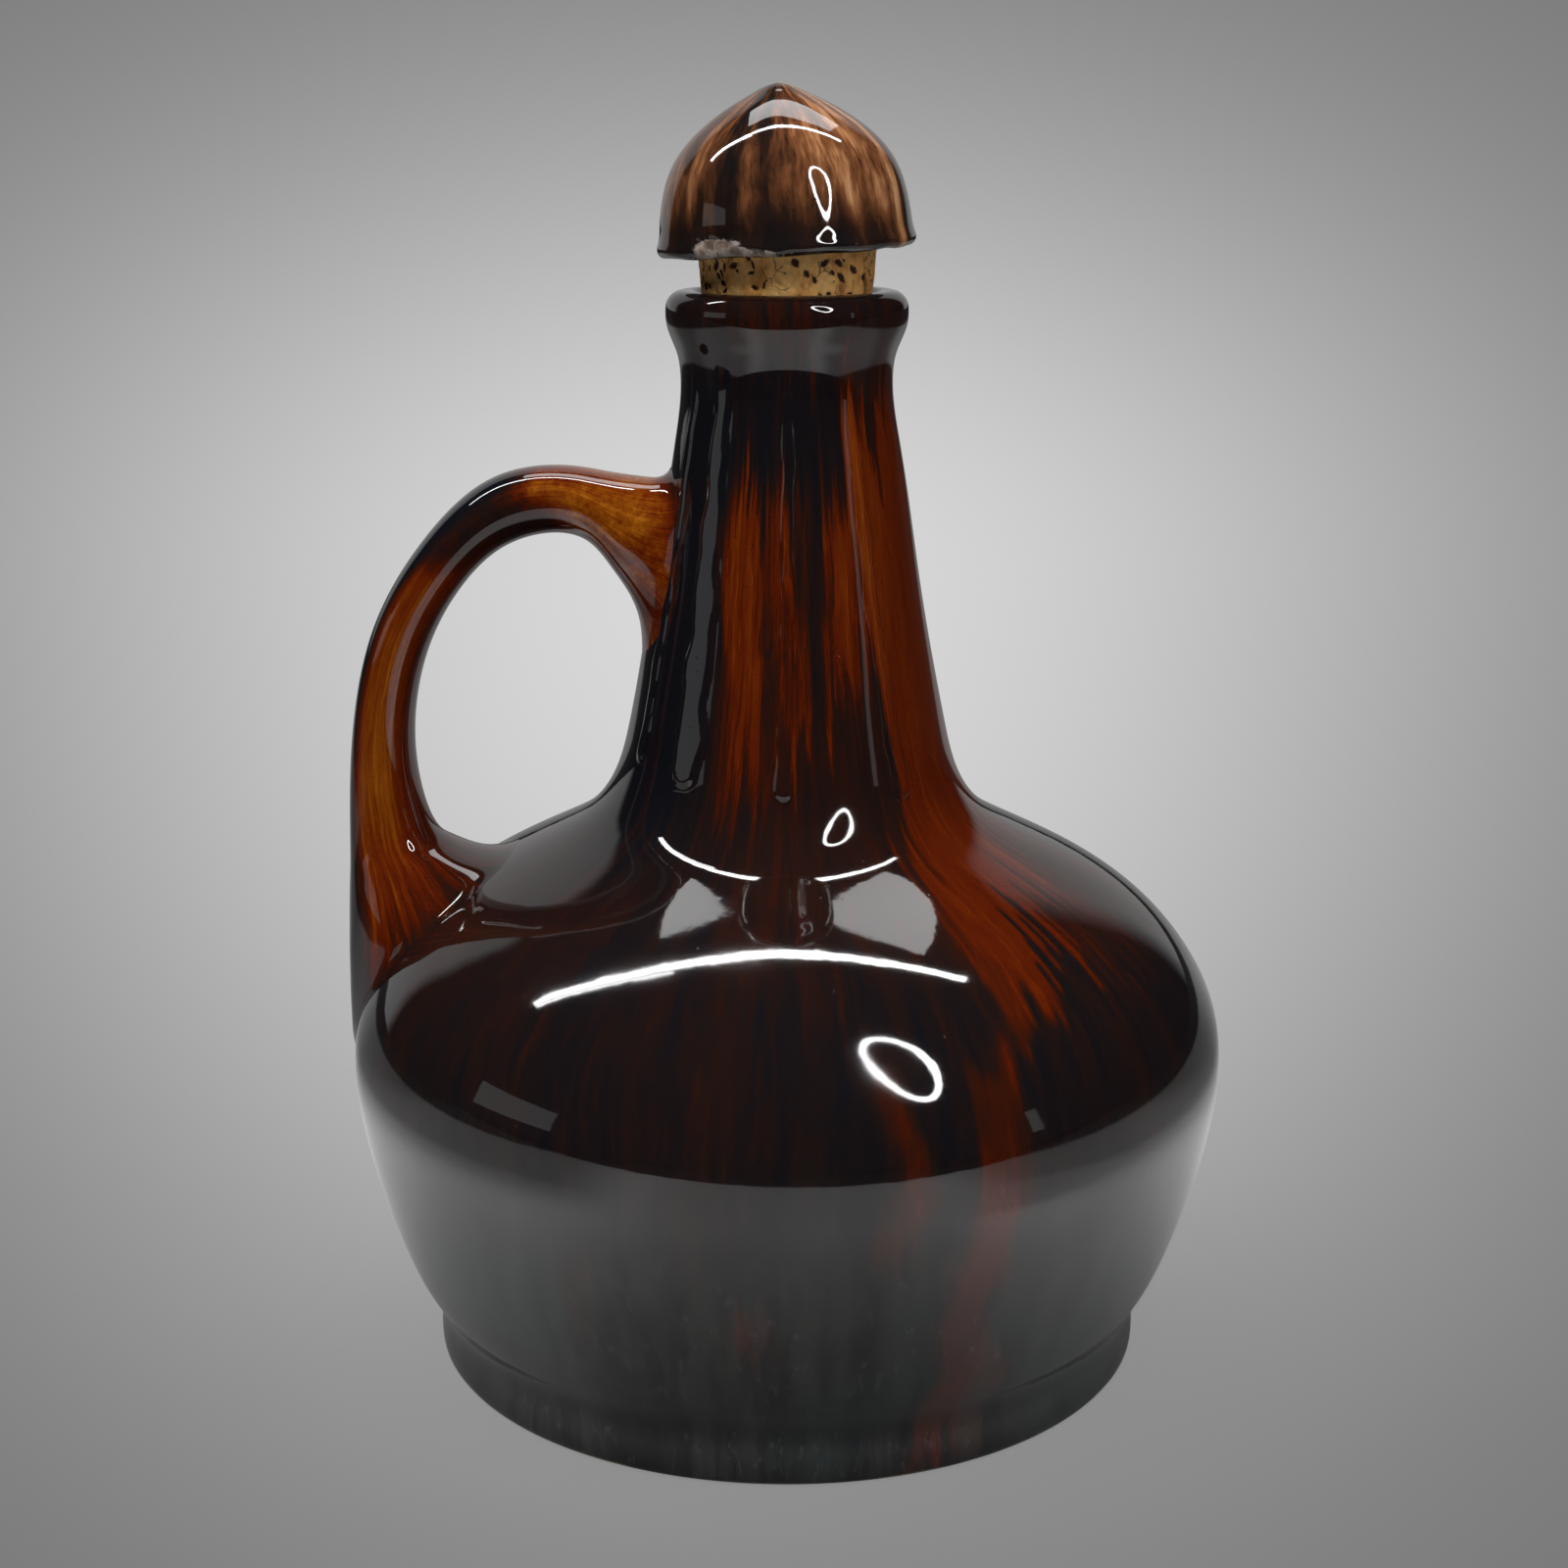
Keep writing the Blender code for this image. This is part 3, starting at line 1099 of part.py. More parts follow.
def make_plunger():
    """The sprung plunger that feels the table, its guide in the board, and the clip above the guide."""
    axis = (worm_x, plunger_y, 0)
    bore = PLUNGER_RADIUS + RUN_GAP
    guide_bottom, flange_bottom = board_bottom - SEAT_GAP, board_top + SEAT_GAP
    guide = [
        (bore, guide_bottom),
        (GUIDE_RADIUS, guide_bottom),
        (GUIDE_RADIUS, flange_bottom),
        (GUIDE_FLANGE_RADIUS, flange_bottom),
        (GUIDE_FLANGE_RADIUS, guide_top),
        (bore, guide_top),
    ]
    solid("plunger_guide", turned(guide, SMALL_STEPS), finishes["brass"], axis)
    foot_top = SEAT_GAP + PLUNGER_FOOT_HEIGHT
    stem = [
        (0, SEAT_GAP),
        (PLUNGER_FOOT_RADIUS - RUN_GAP, SEAT_GAP),
        (PLUNGER_FOOT_RADIUS, 2 * SEAT_GAP),
        (PLUNGER_FOOT_RADIUS, foot_top),
        (PLUNGER_RADIUS, foot_top),
        (PLUNGER_RADIUS, plunger_top - PLUNGER_RADIUS / 2),
        (PLUNGER_RADIUS / 2, plunger_top - PLUNGER_RADIUS / 8),
        (0, plunger_top),
    ]
    solid("plunger", turned(stem, SMALL_STEPS), finishes["steel"], axis)
    solid("plunger_clip", sleeve(bore, CLIP_RADIUS, clip_bottom, clip_top), finishes["blued"], axis)
    coil = coil_spring(foot_top + SEAT_GAP, guide_bottom - SEAT_GAP)
    solid("plunger_spring", coil, finishes["steel"], axis)


def make_stop_lever():
    """The lever between the plunger and the air brake's disc, its pin, and its bracket with a screw."""
    pivot = (worm_x, lever_pivot_y, lever_pivot_height)
    half, thick, bore = LEVER_WIDTH / 2, LEVER_BAR / 2, LEVER_PIN_RADIUS + RUN_GAP
    hub = sleeve(bore, LEVER_HUB_RADIUS, -half, half)
    lever = solid("stop_lever", hub, finishes["steel"], pivot, ALONG_X)
    root = (bore + LEVER_HUB_RADIUS) / 2
    finger_height = brake_disc_bottom + BRAKE_DISC_THICKNESS / 2 - lever_pivot_height
    finger_end = worm_y + BRAKE_DISC_RADIUS + SEAT_GAP - lever_pivot_y
    tail = block((-half, root, -thick), (half, lever_reach + PLUNGER_RADIUS, thick))
    riser = block((-half, -thick, root), (half, thick, finger_height + thick))
    finger = block((-half, finger_end, finger_height - thick), (half, 0, finger_height + thick))
    for name, bar in (("lever_tail", tail), ("lever_riser", riser), ("lever_finger", finger)):
        combine(lever, helper(name, bar, pivot), "UNION")

    bracket_start = half + SEAT_GAP
    bracket_end = bracket_start + BRACKET_THICKNESS
    pin = rod(LEVER_PIN_RADIUS, -half, bracket_end + SEAT_GAP)
    solid("lever_pin", pin, finishes["steel"], pivot, ALONG_X)
    floor = board_top + SEAT_GAP - lever_pivot_height
    wide = LEVER_HUB_RADIUS
    outline = [(wide, floor), *arc((0, 0), wide, 0, 180, 6), (-wide, floor)]
    cheek = extruded([(bracket_start, y, z) for y, z in outline], (BRACKET_THICKNESS, 0, 0))
    bracket = solid("lever_bracket", cheek, finishes["zinc"], pivot)
    foot_start = bracket_start + BRACKET_THICKNESS / 2
    foot = block((foot_start, -wide, floor), (bracket_end + BRACKET_FOOT, wide, floor + BRACKET_THICKNESS))
    combine(bracket, helper("bracket_foot", foot, pivot), "UNION")
    pin_hole = rod(bore, bracket_start - RUN_GAP, bracket_end + CUT_OVERRUN)
    combine(bracket, helper("bracket_pin_hole", pin_hole, pivot, ALONG_X), "DIFFERENCE")
    low, high = board_top - CUT_OVERRUN, board_top + BRACKET_THICKNESS + CUT_OVERRUN
    screw_hole = moved(rod(BRACKET_SCREW_RADIUS + RUN_GAP, low, high), (*bracket_screw_place, 0))
    combine(bracket, helper("bracket_screw_hole", screw_hole), "DIFFERENCE")
    seat = board_top + 2 * SEAT_GAP + BRACKET_THICKNESS
    length = seat - board_bottom - RUN_GAP
    make_screw("bracket_screw", BRACKET_SCREW_RADIUS, length, (*bracket_screw_place, seat), UPSIDE_DOWN)


def clear_scene():
    """Removes every object that the scene starts with."""
    for thing in list(bpy.data.objects):
        bpy.data.objects.remove(thing, do_unlink=True)


clear_scene()
finishes = {
    "glaze": material("brown_black_glaze", (0.045, 0.012, 0.006), 0.08),
    "cap": material("streaked_brown_glaze", (0.16, 0.06, 0.025), 0.08),
    "cork": material("cork", (0.48, 0.27, 0.11), 0.85),
    "board": material("fibre_board", (0.10, 0.055, 0.03), 0.7),
    "fibre": material("fibre_plug", (0.35, 0.2, 0.12), 0.8),
    "brass": material("brass", (0.62, 0.43, 0.16), 0.3, 1.0),
    "steel": material("steel", (0.5, 0.5, 0.52), 0.3, 1.0),
    "blued": material("blued_steel", (0.08, 0.1, 0.16), 0.3, 1.0),
    "zinc": material("zinc_casting", (0.4, 0.4, 0.41), 0.5, 1.0),
    "jewel": material("ruby", (0.4, 0.02, 0.05), 0.1),
    "helper": material("helper", (0.5, 0.5, 0.5), 0.5),
}
make_jug_body()
make_handle()
make_stopper()
make_board()
make_bedplate()
make_spring_drive()
make_cylinder()
make_comb()
make_governor_train()
make_air_brake()
make_governor_frame()
make_plunger()
make_stop_lever()
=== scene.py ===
"""Dresses the musical jug: a treacle-glazed stoneware jug with a strap handle, a corked pointed stopper and a
wind-up musical movement in its foot.

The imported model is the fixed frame. Lengths are metres and +Z is up. The handle is on the -X side, and the
camera looks along +Y. An azimuth is 0 at the front and grows towards +X, the side without a handle.
"""

import logging
import math
from dataclasses import dataclass, field
from enum import Enum

import bmesh
import bpy
import numpy as np
from mathutils import Matrix, Vector


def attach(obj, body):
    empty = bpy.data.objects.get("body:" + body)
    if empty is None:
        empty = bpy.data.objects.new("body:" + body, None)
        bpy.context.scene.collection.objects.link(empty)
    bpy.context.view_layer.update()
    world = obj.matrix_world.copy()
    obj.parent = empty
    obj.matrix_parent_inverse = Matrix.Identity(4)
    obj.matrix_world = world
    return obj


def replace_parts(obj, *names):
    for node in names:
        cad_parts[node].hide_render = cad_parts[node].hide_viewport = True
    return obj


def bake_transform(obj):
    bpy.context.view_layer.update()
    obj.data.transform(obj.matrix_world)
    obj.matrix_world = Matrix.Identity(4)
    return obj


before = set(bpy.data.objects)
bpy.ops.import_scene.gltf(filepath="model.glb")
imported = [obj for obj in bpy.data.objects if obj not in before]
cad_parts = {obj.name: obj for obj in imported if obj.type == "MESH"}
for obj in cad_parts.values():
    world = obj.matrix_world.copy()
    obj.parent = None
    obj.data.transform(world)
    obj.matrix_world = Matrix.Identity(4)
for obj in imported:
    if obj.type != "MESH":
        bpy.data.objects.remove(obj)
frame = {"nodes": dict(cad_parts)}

MM = 0.001
LOG = logging.getLogger("musical_jug")

Socket = bpy.types.NodeSocket
Feed = float | int | bool | tuple | Socket
Feeds = dict[str | int, Feed]
Colour = tuple[float, float, float]
Stop = tuple[float, Colour]


class Slot(Enum):
    """The material slots."""

    GLAZE = "glaze"
    CAP = "cap"
    CORK = "cork"
    BOARD = "board"
    FIBRE = "fibre"
    BRASS = "brass"
    STEEL = "steel"
    BLUED = "blued"
    ZINC = "zinc"
    JEWEL = "jewel"


class Body(Enum):
    """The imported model's bodies that new pieces ride on."""

    JUG = "jug"
    STOPPER = "stopper"
    WINDER = "winder"
    PLUNGER = "plunger"


# Shapes


def eased(value: np.ndarray | float, low: float, high: float) -> np.ndarray:
    """A smooth step from 0 at low to 1 at high."""
    share = np.clip((np.asarray(value, float) - low) / (high - low), 0.0, 1.0)
    return share * share * (3.0 - 2.0 * share)


def between(value: np.ndarray, low: np.ndarray | float, high: np.ndarray | float, soft: float) -> np.ndarray:
    """1 between low and high, and 0 beyond them, with edges that are soft to either side."""
    return eased(value, low - soft, low + soft) * (1 - eased(value, high - soft, high + soft))


def bell(value: np.ndarray, middle: float, half: float) -> np.ndarray:
    """A smooth bell, which is 1 at its middle."""
    return np.exp(-(((value - middle) / half) ** 2))


def whole_turn(steps: int, start: float = 0.0) -> np.ndarray:
    """Evenly spaced angles round one turn, in radians."""
    return np.linspace(start, start + math.tau, steps, endpoint=False)


def lengths_along(line: np.ndarray) -> np.ndarray:
    """How far each point of a line is along it."""
    return np.concatenate([[0.0], np.cumsum(np.linalg.norm(np.diff(line, axis=0), axis=1))])


def unit(vector: np.ndarray) -> np.ndarray:
    """A vector's direction, of length 1."""
    return vector / max(np.linalg.norm(vector), 1e-9)


def spline_through(knots: np.ndarray, count: int) -> np.ndarray:
    """A natural cubic spline through knots, by chord length.

    Args:
        knots: One row for each knot.
        count: How many points to take along the spline.

    Returns:
        The points, evenly spaced in chord length.
    """
    steps = np.linalg.norm(np.diff(knots, axis=0), axis=1)
    at = np.concatenate([[0.0], np.cumsum(steps)])
    inner = len(knots) - 2
    system = np.zeros((inner, inner))
    right = np.zeros((inner, knots.shape[1]))
    for i in range(inner):
        before, after = steps[i], steps[i + 1]
        system[i, i] = 2.0 * (before + after)
        if i > 0:
            system[i, i - 1] = before
        if i < inner - 1:
            system[i, i + 1] = after
        rise_after, rise_before = (knots[i + 2] - knots[i + 1]) / after, (knots[i + 1] - knots[i]) / before
        right[i] = 6.0 * (rise_after - rise_before)
    bends = np.zeros_like(knots)
    bends[1:-1] = np.linalg.solve(system, right)
    wanted = np.linspace(0.0, at[-1], count)
    span = np.clip(np.searchsorted(at, wanted, side="right") - 1, 0, len(knots) - 2)
    length = steps[span][:, None]
    far = ((wanted - at[span])[:, None]) / length
    near = 1.0 - far
    curve = near * knots[span] + far * knots[span + 1]
    curve += (near**3 - near) * length**2 / 6.0 * bends[span]
    curve += (far**3 - far) * length**2 / 6.0 * bends[span + 1]
    return curve


def arc(centre: tuple[float, float], radius: float, start: float, end: float, steps: int) -> list[tuple]:
    """Points on a circular arc from one angle to another, in degrees: one more than its steps."""
    turns = [math.radians(start + (end - start) * i / steps) for i in range(steps + 1)]
    return [(centre[0] + radius * math.cos(turn), centre[1] + radius * math.sin(turn)) for turn in turns]


def softened(corners: list[tuple[float, float]], radius: float, steps: int = 4) -> list[tuple[float, float]]:
    """An open outline with its inner corners rounded.

    Args:
        corners: The outline's corners.
        radius: How far from each corner the rounding starts, at most.
        steps: How many steps each rounding has.

    Returns:
        The rounded outline, which starts and ends at the same points.
    """
    outline = [corners[0]]
    for before, here, after in zip(corners, corners[1:], corners[2:]):
        back, ahead = Vector(before) - Vector(here), Vector(after) - Vector(here)
        reach = min(radius, back.length * 0.45, ahead.length * 0.45)
        start, end = Vector(here) + back.normalized() * reach, Vector(here) + ahead.normalized() * reach
        for i in range(steps + 1):
            t = i / steps
            outline.append(tuple(start * (1 - t) ** 2 + Vector(here) * (2 * t * (1 - t)) + end * t * t))
    return [*outline, corners[-1]]


def resampled(line: np.ndarray, spacing: float) -> np.ndarray:
    """A polyline with points no further apart than the spacing.

    Args:
        line: One row for each point.
        spacing: The longest step.

    Returns:
        The polyline, with its own points kept.
    """
    points = [line[0]]
    for start, end in zip(line, line[1:]):
        steps = max(1, math.ceil(float(np.linalg.norm(end - start)) / spacing))
        points += [start + (end - start) * i / steps for i in range(1, steps + 1)]
    return np.array(points)


def grown_noise(around: np.ndarray, along: np.ndarray, seed: int, turns: int, waves: float) -> np.ndarray:
    """A smooth unevenness on a turned surface, the same in every run.

    Args:
        around: Each point's angle, in radians.
        along: Each point's place along the surface, in metres.
        seed: What the unevenness is grown from.
        turns: The most waves round the surface.
        waves: The most waves in each metre along it.

    Returns:
        The unevenness at each point, about -1 to 1.
    """
    chance = np.random.default_rng(seed)
    total = np.zeros(np.broadcast(around, along).shape)
    count = 14
    for _ in range(count):
        ring = int(chance.integers(0, turns + 1))
        pitch = chance.uniform(0.2, 1.0) * waves * math.tau
        total += np.cos(ring * around + pitch * along + chance.uniform(0, math.tau))
    return total / math.sqrt(count / 2)


def unrolled(radius: float, angle: np.ndarray, along: np.ndarray) -> np.ndarray:
    """The flow mark of a turned surface, as if it were a tube of one radius.

    Args:
        radius: The tube's radius.
        angle: A row of azimuths.
        along: A column of lengths along the section.

    Returns:
        Three numbers for each point.
    """
    shape = np.broadcast(angle, along).shape
    parts = (radius * np.sin(angle), -radius * np.cos(angle), along)
    return np.stack([np.broadcast_to(part, shape) for part in parts], axis=-1)


def push_out(rows: np.ndarray, angle: np.ndarray, rise: np.ndarray) -> None:
    """Moves rows of points outwards from the axis, where they are."""
    rows[..., 0] += rise * np.sin(angle)
    rows[..., 1] -= rise * np.cos(angle)


@dataclass
class Sheet:
    """A surface of rows of points, each row closed to a ring, from which a piece's mesh is made."""

    rows: np.ndarray
    start_point: np.ndarray | None = None
    end_point: np.ndarray | None = None
    marks: dict[str, np.ndarray] = field(default_factory=dict)

    def mesh(self, name: str) -> bpy.types.Mesh:
        """The rows as a smooth mesh, with its marks as attributes.

        Args:
            name: The mesh's name.

        Returns:
            The mesh. Its faces point to the side where columns turn to the left of the rows' direction.
        """
        rows, columns = self.rows.shape[:2]
        grid = np.arange(rows * columns).reshape(rows, columns)
        following = np.roll(grid, -1, axis=1)
        quads = np.stack([grid[:-1], following[:-1], following[1:], grid[1:]], axis=-1).reshape(-1, 4)
        faces = quads.tolist()
        points = self.rows.reshape(-1, 3)
        extra = []
        for point, row, flipped in ((self.start_point, 0, True), (self.end_point, rows - 1, False)):
            if point is None:
                continue
            tip = len(points) + len(extra)
            extra.append(point)
            for a, b in zip(grid[row], following[row]):
                faces.append([tip, int(b), int(a)] if flipped else [int(a), int(b), tip])
        if extra:
            points = np.vstack([points, np.array(extra)])
        made = bpy.data.meshes.new(name)
        made.from_pydata(points.tolist(), [], faces)
        for mark, values in self.marks.items():
            self.write_mark(made, mark, values, len(extra))
        made.validate()
        made.shade_smooth()
        return made

    def write_mark(self, mesh: bpy.types.Mesh, mark: str, values: np.ndarray, extra: int) -> None:
        """Writes one mark as a vector attribute.

        Args:
            mesh: The mesh that gets it.
            mark: The attribute's name.
            values: Three numbers for each point of the rows.
            extra: How many end points follow the rows.
        """
        flat = values.reshape(-1, 3)
        if extra:
            flat = np.vstack([flat, np.array([flat[0], flat[-1]][-extra:])])
        attribute = mesh.attributes.new(mark, "FLOAT_VECTOR", "POINT")
        attribute.data.foreach_set("vector", flat.astype(np.float32).ravel())


def in_scene(name: str, data: bpy.types.ID) -> bpy.types.Object:
    """A new object in the scene.

    Args:
        name: Its name.
        data: Its mesh, lamp or camera.

    Returns:
        The object.
    """
    made = bpy.data.objects.new(name, data)
    bpy.context.scene.collection.objects.link(made)
    return made


def placed(
    name: str, mesh: bpy.types.Mesh, finish: bpy.types.Material, body: Body | None
) -> bpy.types.Object:
    """A piece of the jug, riding on its body.

    Args:
        name: The piece's name.
        mesh: The piece's mesh, in the frame's metres.
        finish: What it is made of.
        body: The body that it moves with, or None where it stretches between two.

    Returns:
        The piece.
    """
    mesh.materials.append(finish)
    piece = in_scene(name, mesh)
    if body is not None:
        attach(piece, body.value)
    LOG.info("%s: %d faces on %s", name, len(mesh.polygons), body.value if body else "two bodies")
    return piece


def turned(section: np.ndarray, steps: int, axis_ends: bool = True) -> Sheet:
    """A sheet turned about Z.

    Args:
        section: Rows of radius and height, from the underside, up the outside and down the inside.
        steps: How many steps the turn has.
        axis_ends: Whether the section starts and ends on the axis.

    Returns:
        The sheet, with its faces pointing out.
    """
    angle = whole_turn(steps, -math.pi)
    ring = section[1:-1] if axis_ends else section
    radius, height = ring[:, 0][:, None], ring[:, 1][:, None]
    level = np.broadcast_to(height, (len(ring), steps))
    rows = np.stack([radius * np.sin(angle), -radius * np.cos(angle), level], axis=-1)
    if not axis_ends:
        return Sheet(rows)
    start, end = (np.array([0.0, 0.0, section[k][1]]) for k in (0, -1))
    return Sheet(rows, start_point=start, end_point=end)


# Node work


class Recipe:
    """The nodes of one material or room, put down one after another."""

    def __init__(self, name: str, room: bool = False) -> None:
        """Starts an empty material or room.

        Args:
            name: Its name.
            room: Whether it is the room around the jug, and not a material.
        """
        self.material = bpy.data.worlds.new(name) if room else bpy.data.materials.new(name)
        self.material.use_nodes = True
        self.nodes = self.material.node_tree.nodes
        self.links = self.material.node_tree.links
        self.nodes.clear()
        self.output = self.nodes.new("ShaderNodeOutputWorld" if room else "ShaderNodeOutputMaterial")

    def put(self, kind: str, feeds: Feeds | None = None, **settings: object) -> bpy.types.Node:
        """Puts down a node.

        Args:
            kind: The node's type.
            feeds: What goes into its sockets, by name or number: a value, or another node's socket.
            settings: The node's own settings.

        Returns:
            The node.
        """
        node = self.nodes.new(kind)
        for setting, value in settings.items():
            setattr(node, setting, value)
        for socket, feed in (feeds or {}).items():
            if isinstance(feed, bpy.types.NodeSocket):
                self.links.new(feed, node.inputs[socket])
            else:
                node.inputs[socket].default_value = feed
        return node

    def mark(self, name: str) -> Socket:
        """The vector of one of the mesh's marks."""
        node = self.put("ShaderNodeAttribute", attribute_name=name, attribute_type="GEOMETRY")
        return node.outputs["Vector"]

    def place(self) -> Socket:
        """The place on the piece, in metres."""
        return self.put("ShaderNodeTexCoord").outputs["Object"]

    def direct(self) -> Socket:
        """1 where the camera looks straight at it, and 0 in its light and reflections."""
        return self.put("ShaderNodeLightPath").outputs["Is Camera Ray"]

    def parts(self, vector: Socket) -> tuple[Socket, Socket, Socket]:
        """A vector's three numbers."""
        node = self.put("ShaderNodeSeparateXYZ", {"Vector": vector})
        return node.outputs["X"], node.outputs["Y"], node.outputs["Z"]

    def scaled(self, vector: Socket, scale: tuple[float, float, float]) -> Socket:
        """A vector with each of its numbers scaled."""
        feeds = {0: vector, 1: scale}
        return self.put("ShaderNodeVectorMath", feeds, operation="MULTIPLY").outputs["Vector"]

    def noise_node(self, vector: Socket, scale: float, detail: float, roughness: float) -> bpy.types.Node:
        """The node of cloudy noise, whose outputs are a value and a colour."""
        feeds = {"Vector": vector, "Scale": scale, "Detail": detail, "Roughness": roughness}
        return self.put("ShaderNodeTexNoise", feeds, noise_dimensions="3D")

    def noise(self, vector: Socket, scale: Feed, detail: float = 3.0, roughness: float = 0.5) -> Socket:
        """Cloudy noise, from 0 to 1.

        Args:
            vector: The place that it is read at.
            scale: How many clouds there are to a unit, all ways or for each way.
            detail: How many finer layers it has.
            roughness: How strong the finer layers are.

        Returns:
            The noise.
        """
        if isinstance(scale, tuple):
            vector, scale = self.scaled(vector, scale), 1.0
        return self.noise_node(vector, scale, detail, roughness).outputs["Fac"]

    def wandered(self, vector: Socket, scale: float, detail: float, share: float) -> Socket:
        """A vector pushed about by cloudy noise, for wandering lines.

        Args:
            vector: What is pushed.
            scale: How many clouds there are to a unit.
            detail: How many finer layers they have.
            share: How far it is pushed.

        Returns:
            The pushed vector.
        """
        feeds = {0: self.noise_node(vector, scale, detail, 0.5).outputs["Color"], 1: (0.5, 0.5, 0.5)}
        centred = self.put("ShaderNodeVectorMath", feeds, operation="SUBTRACT").outputs["Vector"]
        push = self.put("ShaderNodeVectorMath", {0: centred, "Scale": share}, operation="SCALE")
        feeds = {0: vector, 1: push.outputs["Vector"]}
        return self.put("ShaderNodeVectorMath", feeds, operation="ADD").outputs["Vector"]

    def cells(self, vector: Socket, scale: float, feature: str = "F1") -> Socket:
        """Cell noise: the distance to a cell's point, or to its edge if that is the feature."""
        node = self.put("ShaderNodeTexVoronoi", {"Vector": vector, "Scale": scale}, feature=feature)
        return node.outputs["Distance"]

    def worked(self, operation: str, first: Feed, second: Feed = 0.0) -> Socket:
        """What a Math node makes of one or two values."""
        return self.put("ShaderNodeMath", {0: first, 1: second}, operation=operation).outputs["Value"]

    def sum(self, first: Feed, second: Feed) -> Socket:
        """One value added to another."""
        return self.worked("ADD", first, second)

    def times(self, first: Feed, second: Feed) -> Socket:
        """One value times another."""
        return self.worked("MULTIPLY", first, second)

    def over(self, first: Feed, second: Feed) -> Socket:
        """One value divided by another."""
        return self.worked("DIVIDE", first, second)

    def swing(self, noise: Socket, size: float) -> Socket:
        """A noise's swing about its middle, times a size."""
        return self.times(self.sum(noise, -0.5), size)

    def step(self, value: Socket, low: float, high: float, start: float = 0.0, end: float = 1.0) -> Socket:
        """A smooth step.

        Args:
            value: What is stepped on.
            low: Where the step starts.
            high: Where the step ends.
            start: Its value before the step.
            end: Its value after the step.

        Returns:
            The step's value.
        """
        feeds = {"Value": value, "From Min": low, "From Max": high, "To Min": start, "To Max": end}
        node = self.put("ShaderNodeMapRange", feeds, interpolation_type="SMOOTHSTEP")
        return node.outputs["Result"]

    def ramp(self, value: Socket, stops: tuple[Stop, ...]) -> Socket:
        """A colour that runs through stops.

        Args:
            value: Where on the ramp the colour is taken.
            stops: Each stop's place and colour.

        Returns:
            The colour.
        """
        node = self.put("ShaderNodeValToRGB", {"Fac": value})
        elements = node.color_ramp.elements
        while len(elements) < len(stops):
            elements.new(0.5)
        for element, (at, colour) in zip(elements, stops):
            element.position = at
            element.color = (*colour, 1.0)
        return node.outputs["Color"]

    def blend(self, share: Feed, first: Feed, second: Feed, way: str = "MIX") -> Socket:
        """One colour mixed with another.

        Args:
            share: The second colour's share.
            first: The first colour.
            second: The second colour.
            way: How they are mixed.

        Returns:
            The mixed colour.
        """
        node = self.put("ShaderNodeMix", data_type="RGBA", blend_type=way)
        sockets = [socket for socket in node.inputs if socket.enabled]
        for socket, feed in zip(sockets, (share, first, second)):
            if isinstance(feed, bpy.types.NodeSocket):
                self.links.new(feed, socket)
            else:
                socket.default_value = (*feed, 1.0) if isinstance(feed, tuple) and len(feed) == 3 else feed
        return next(socket for socket in node.outputs if socket.enabled)

    def relief(self, height: Socket, depth: float, under: Socket | None = None) -> Socket:
        """Small relief on the surface.

        Args:
            height: The relief, from 0 to 1.
            depth: How deep it is, in metres.
            under: A relief that this one is laid over.

        Returns:
            The surface's direction with the relief.
        """
        feeds = {"Height": height, "Distance": depth, "Strength": 1.0}
        if under is not None:
            feeds["Normal"] = under
        return self.put("ShaderNodeBump", feeds).outputs["Normal"]

    def mixed(self, share: Socket, first: Socket, second: Socket) -> Socket:
        """One shader mixed with another, by the second one's share."""
        return self.put("ShaderNodeMixShader", {0: share, 1: first, 2: second}).outputs["Shader"]

    def ended(self, shader: Socket) -> bpy.types.Material:
        """The material or room, which ends with a shader."""
        self.links.new(shader, self.output.inputs["Surface"])
        return self.material

    def finish(self, feeds: Feeds) -> bpy.types.Material:
        """The material, which ends with a surface that these feeds go into."""
        return self.ended(self.put("ShaderNodeBsdfPrincipled", feeds).outputs["BSDF"])


# Finishes


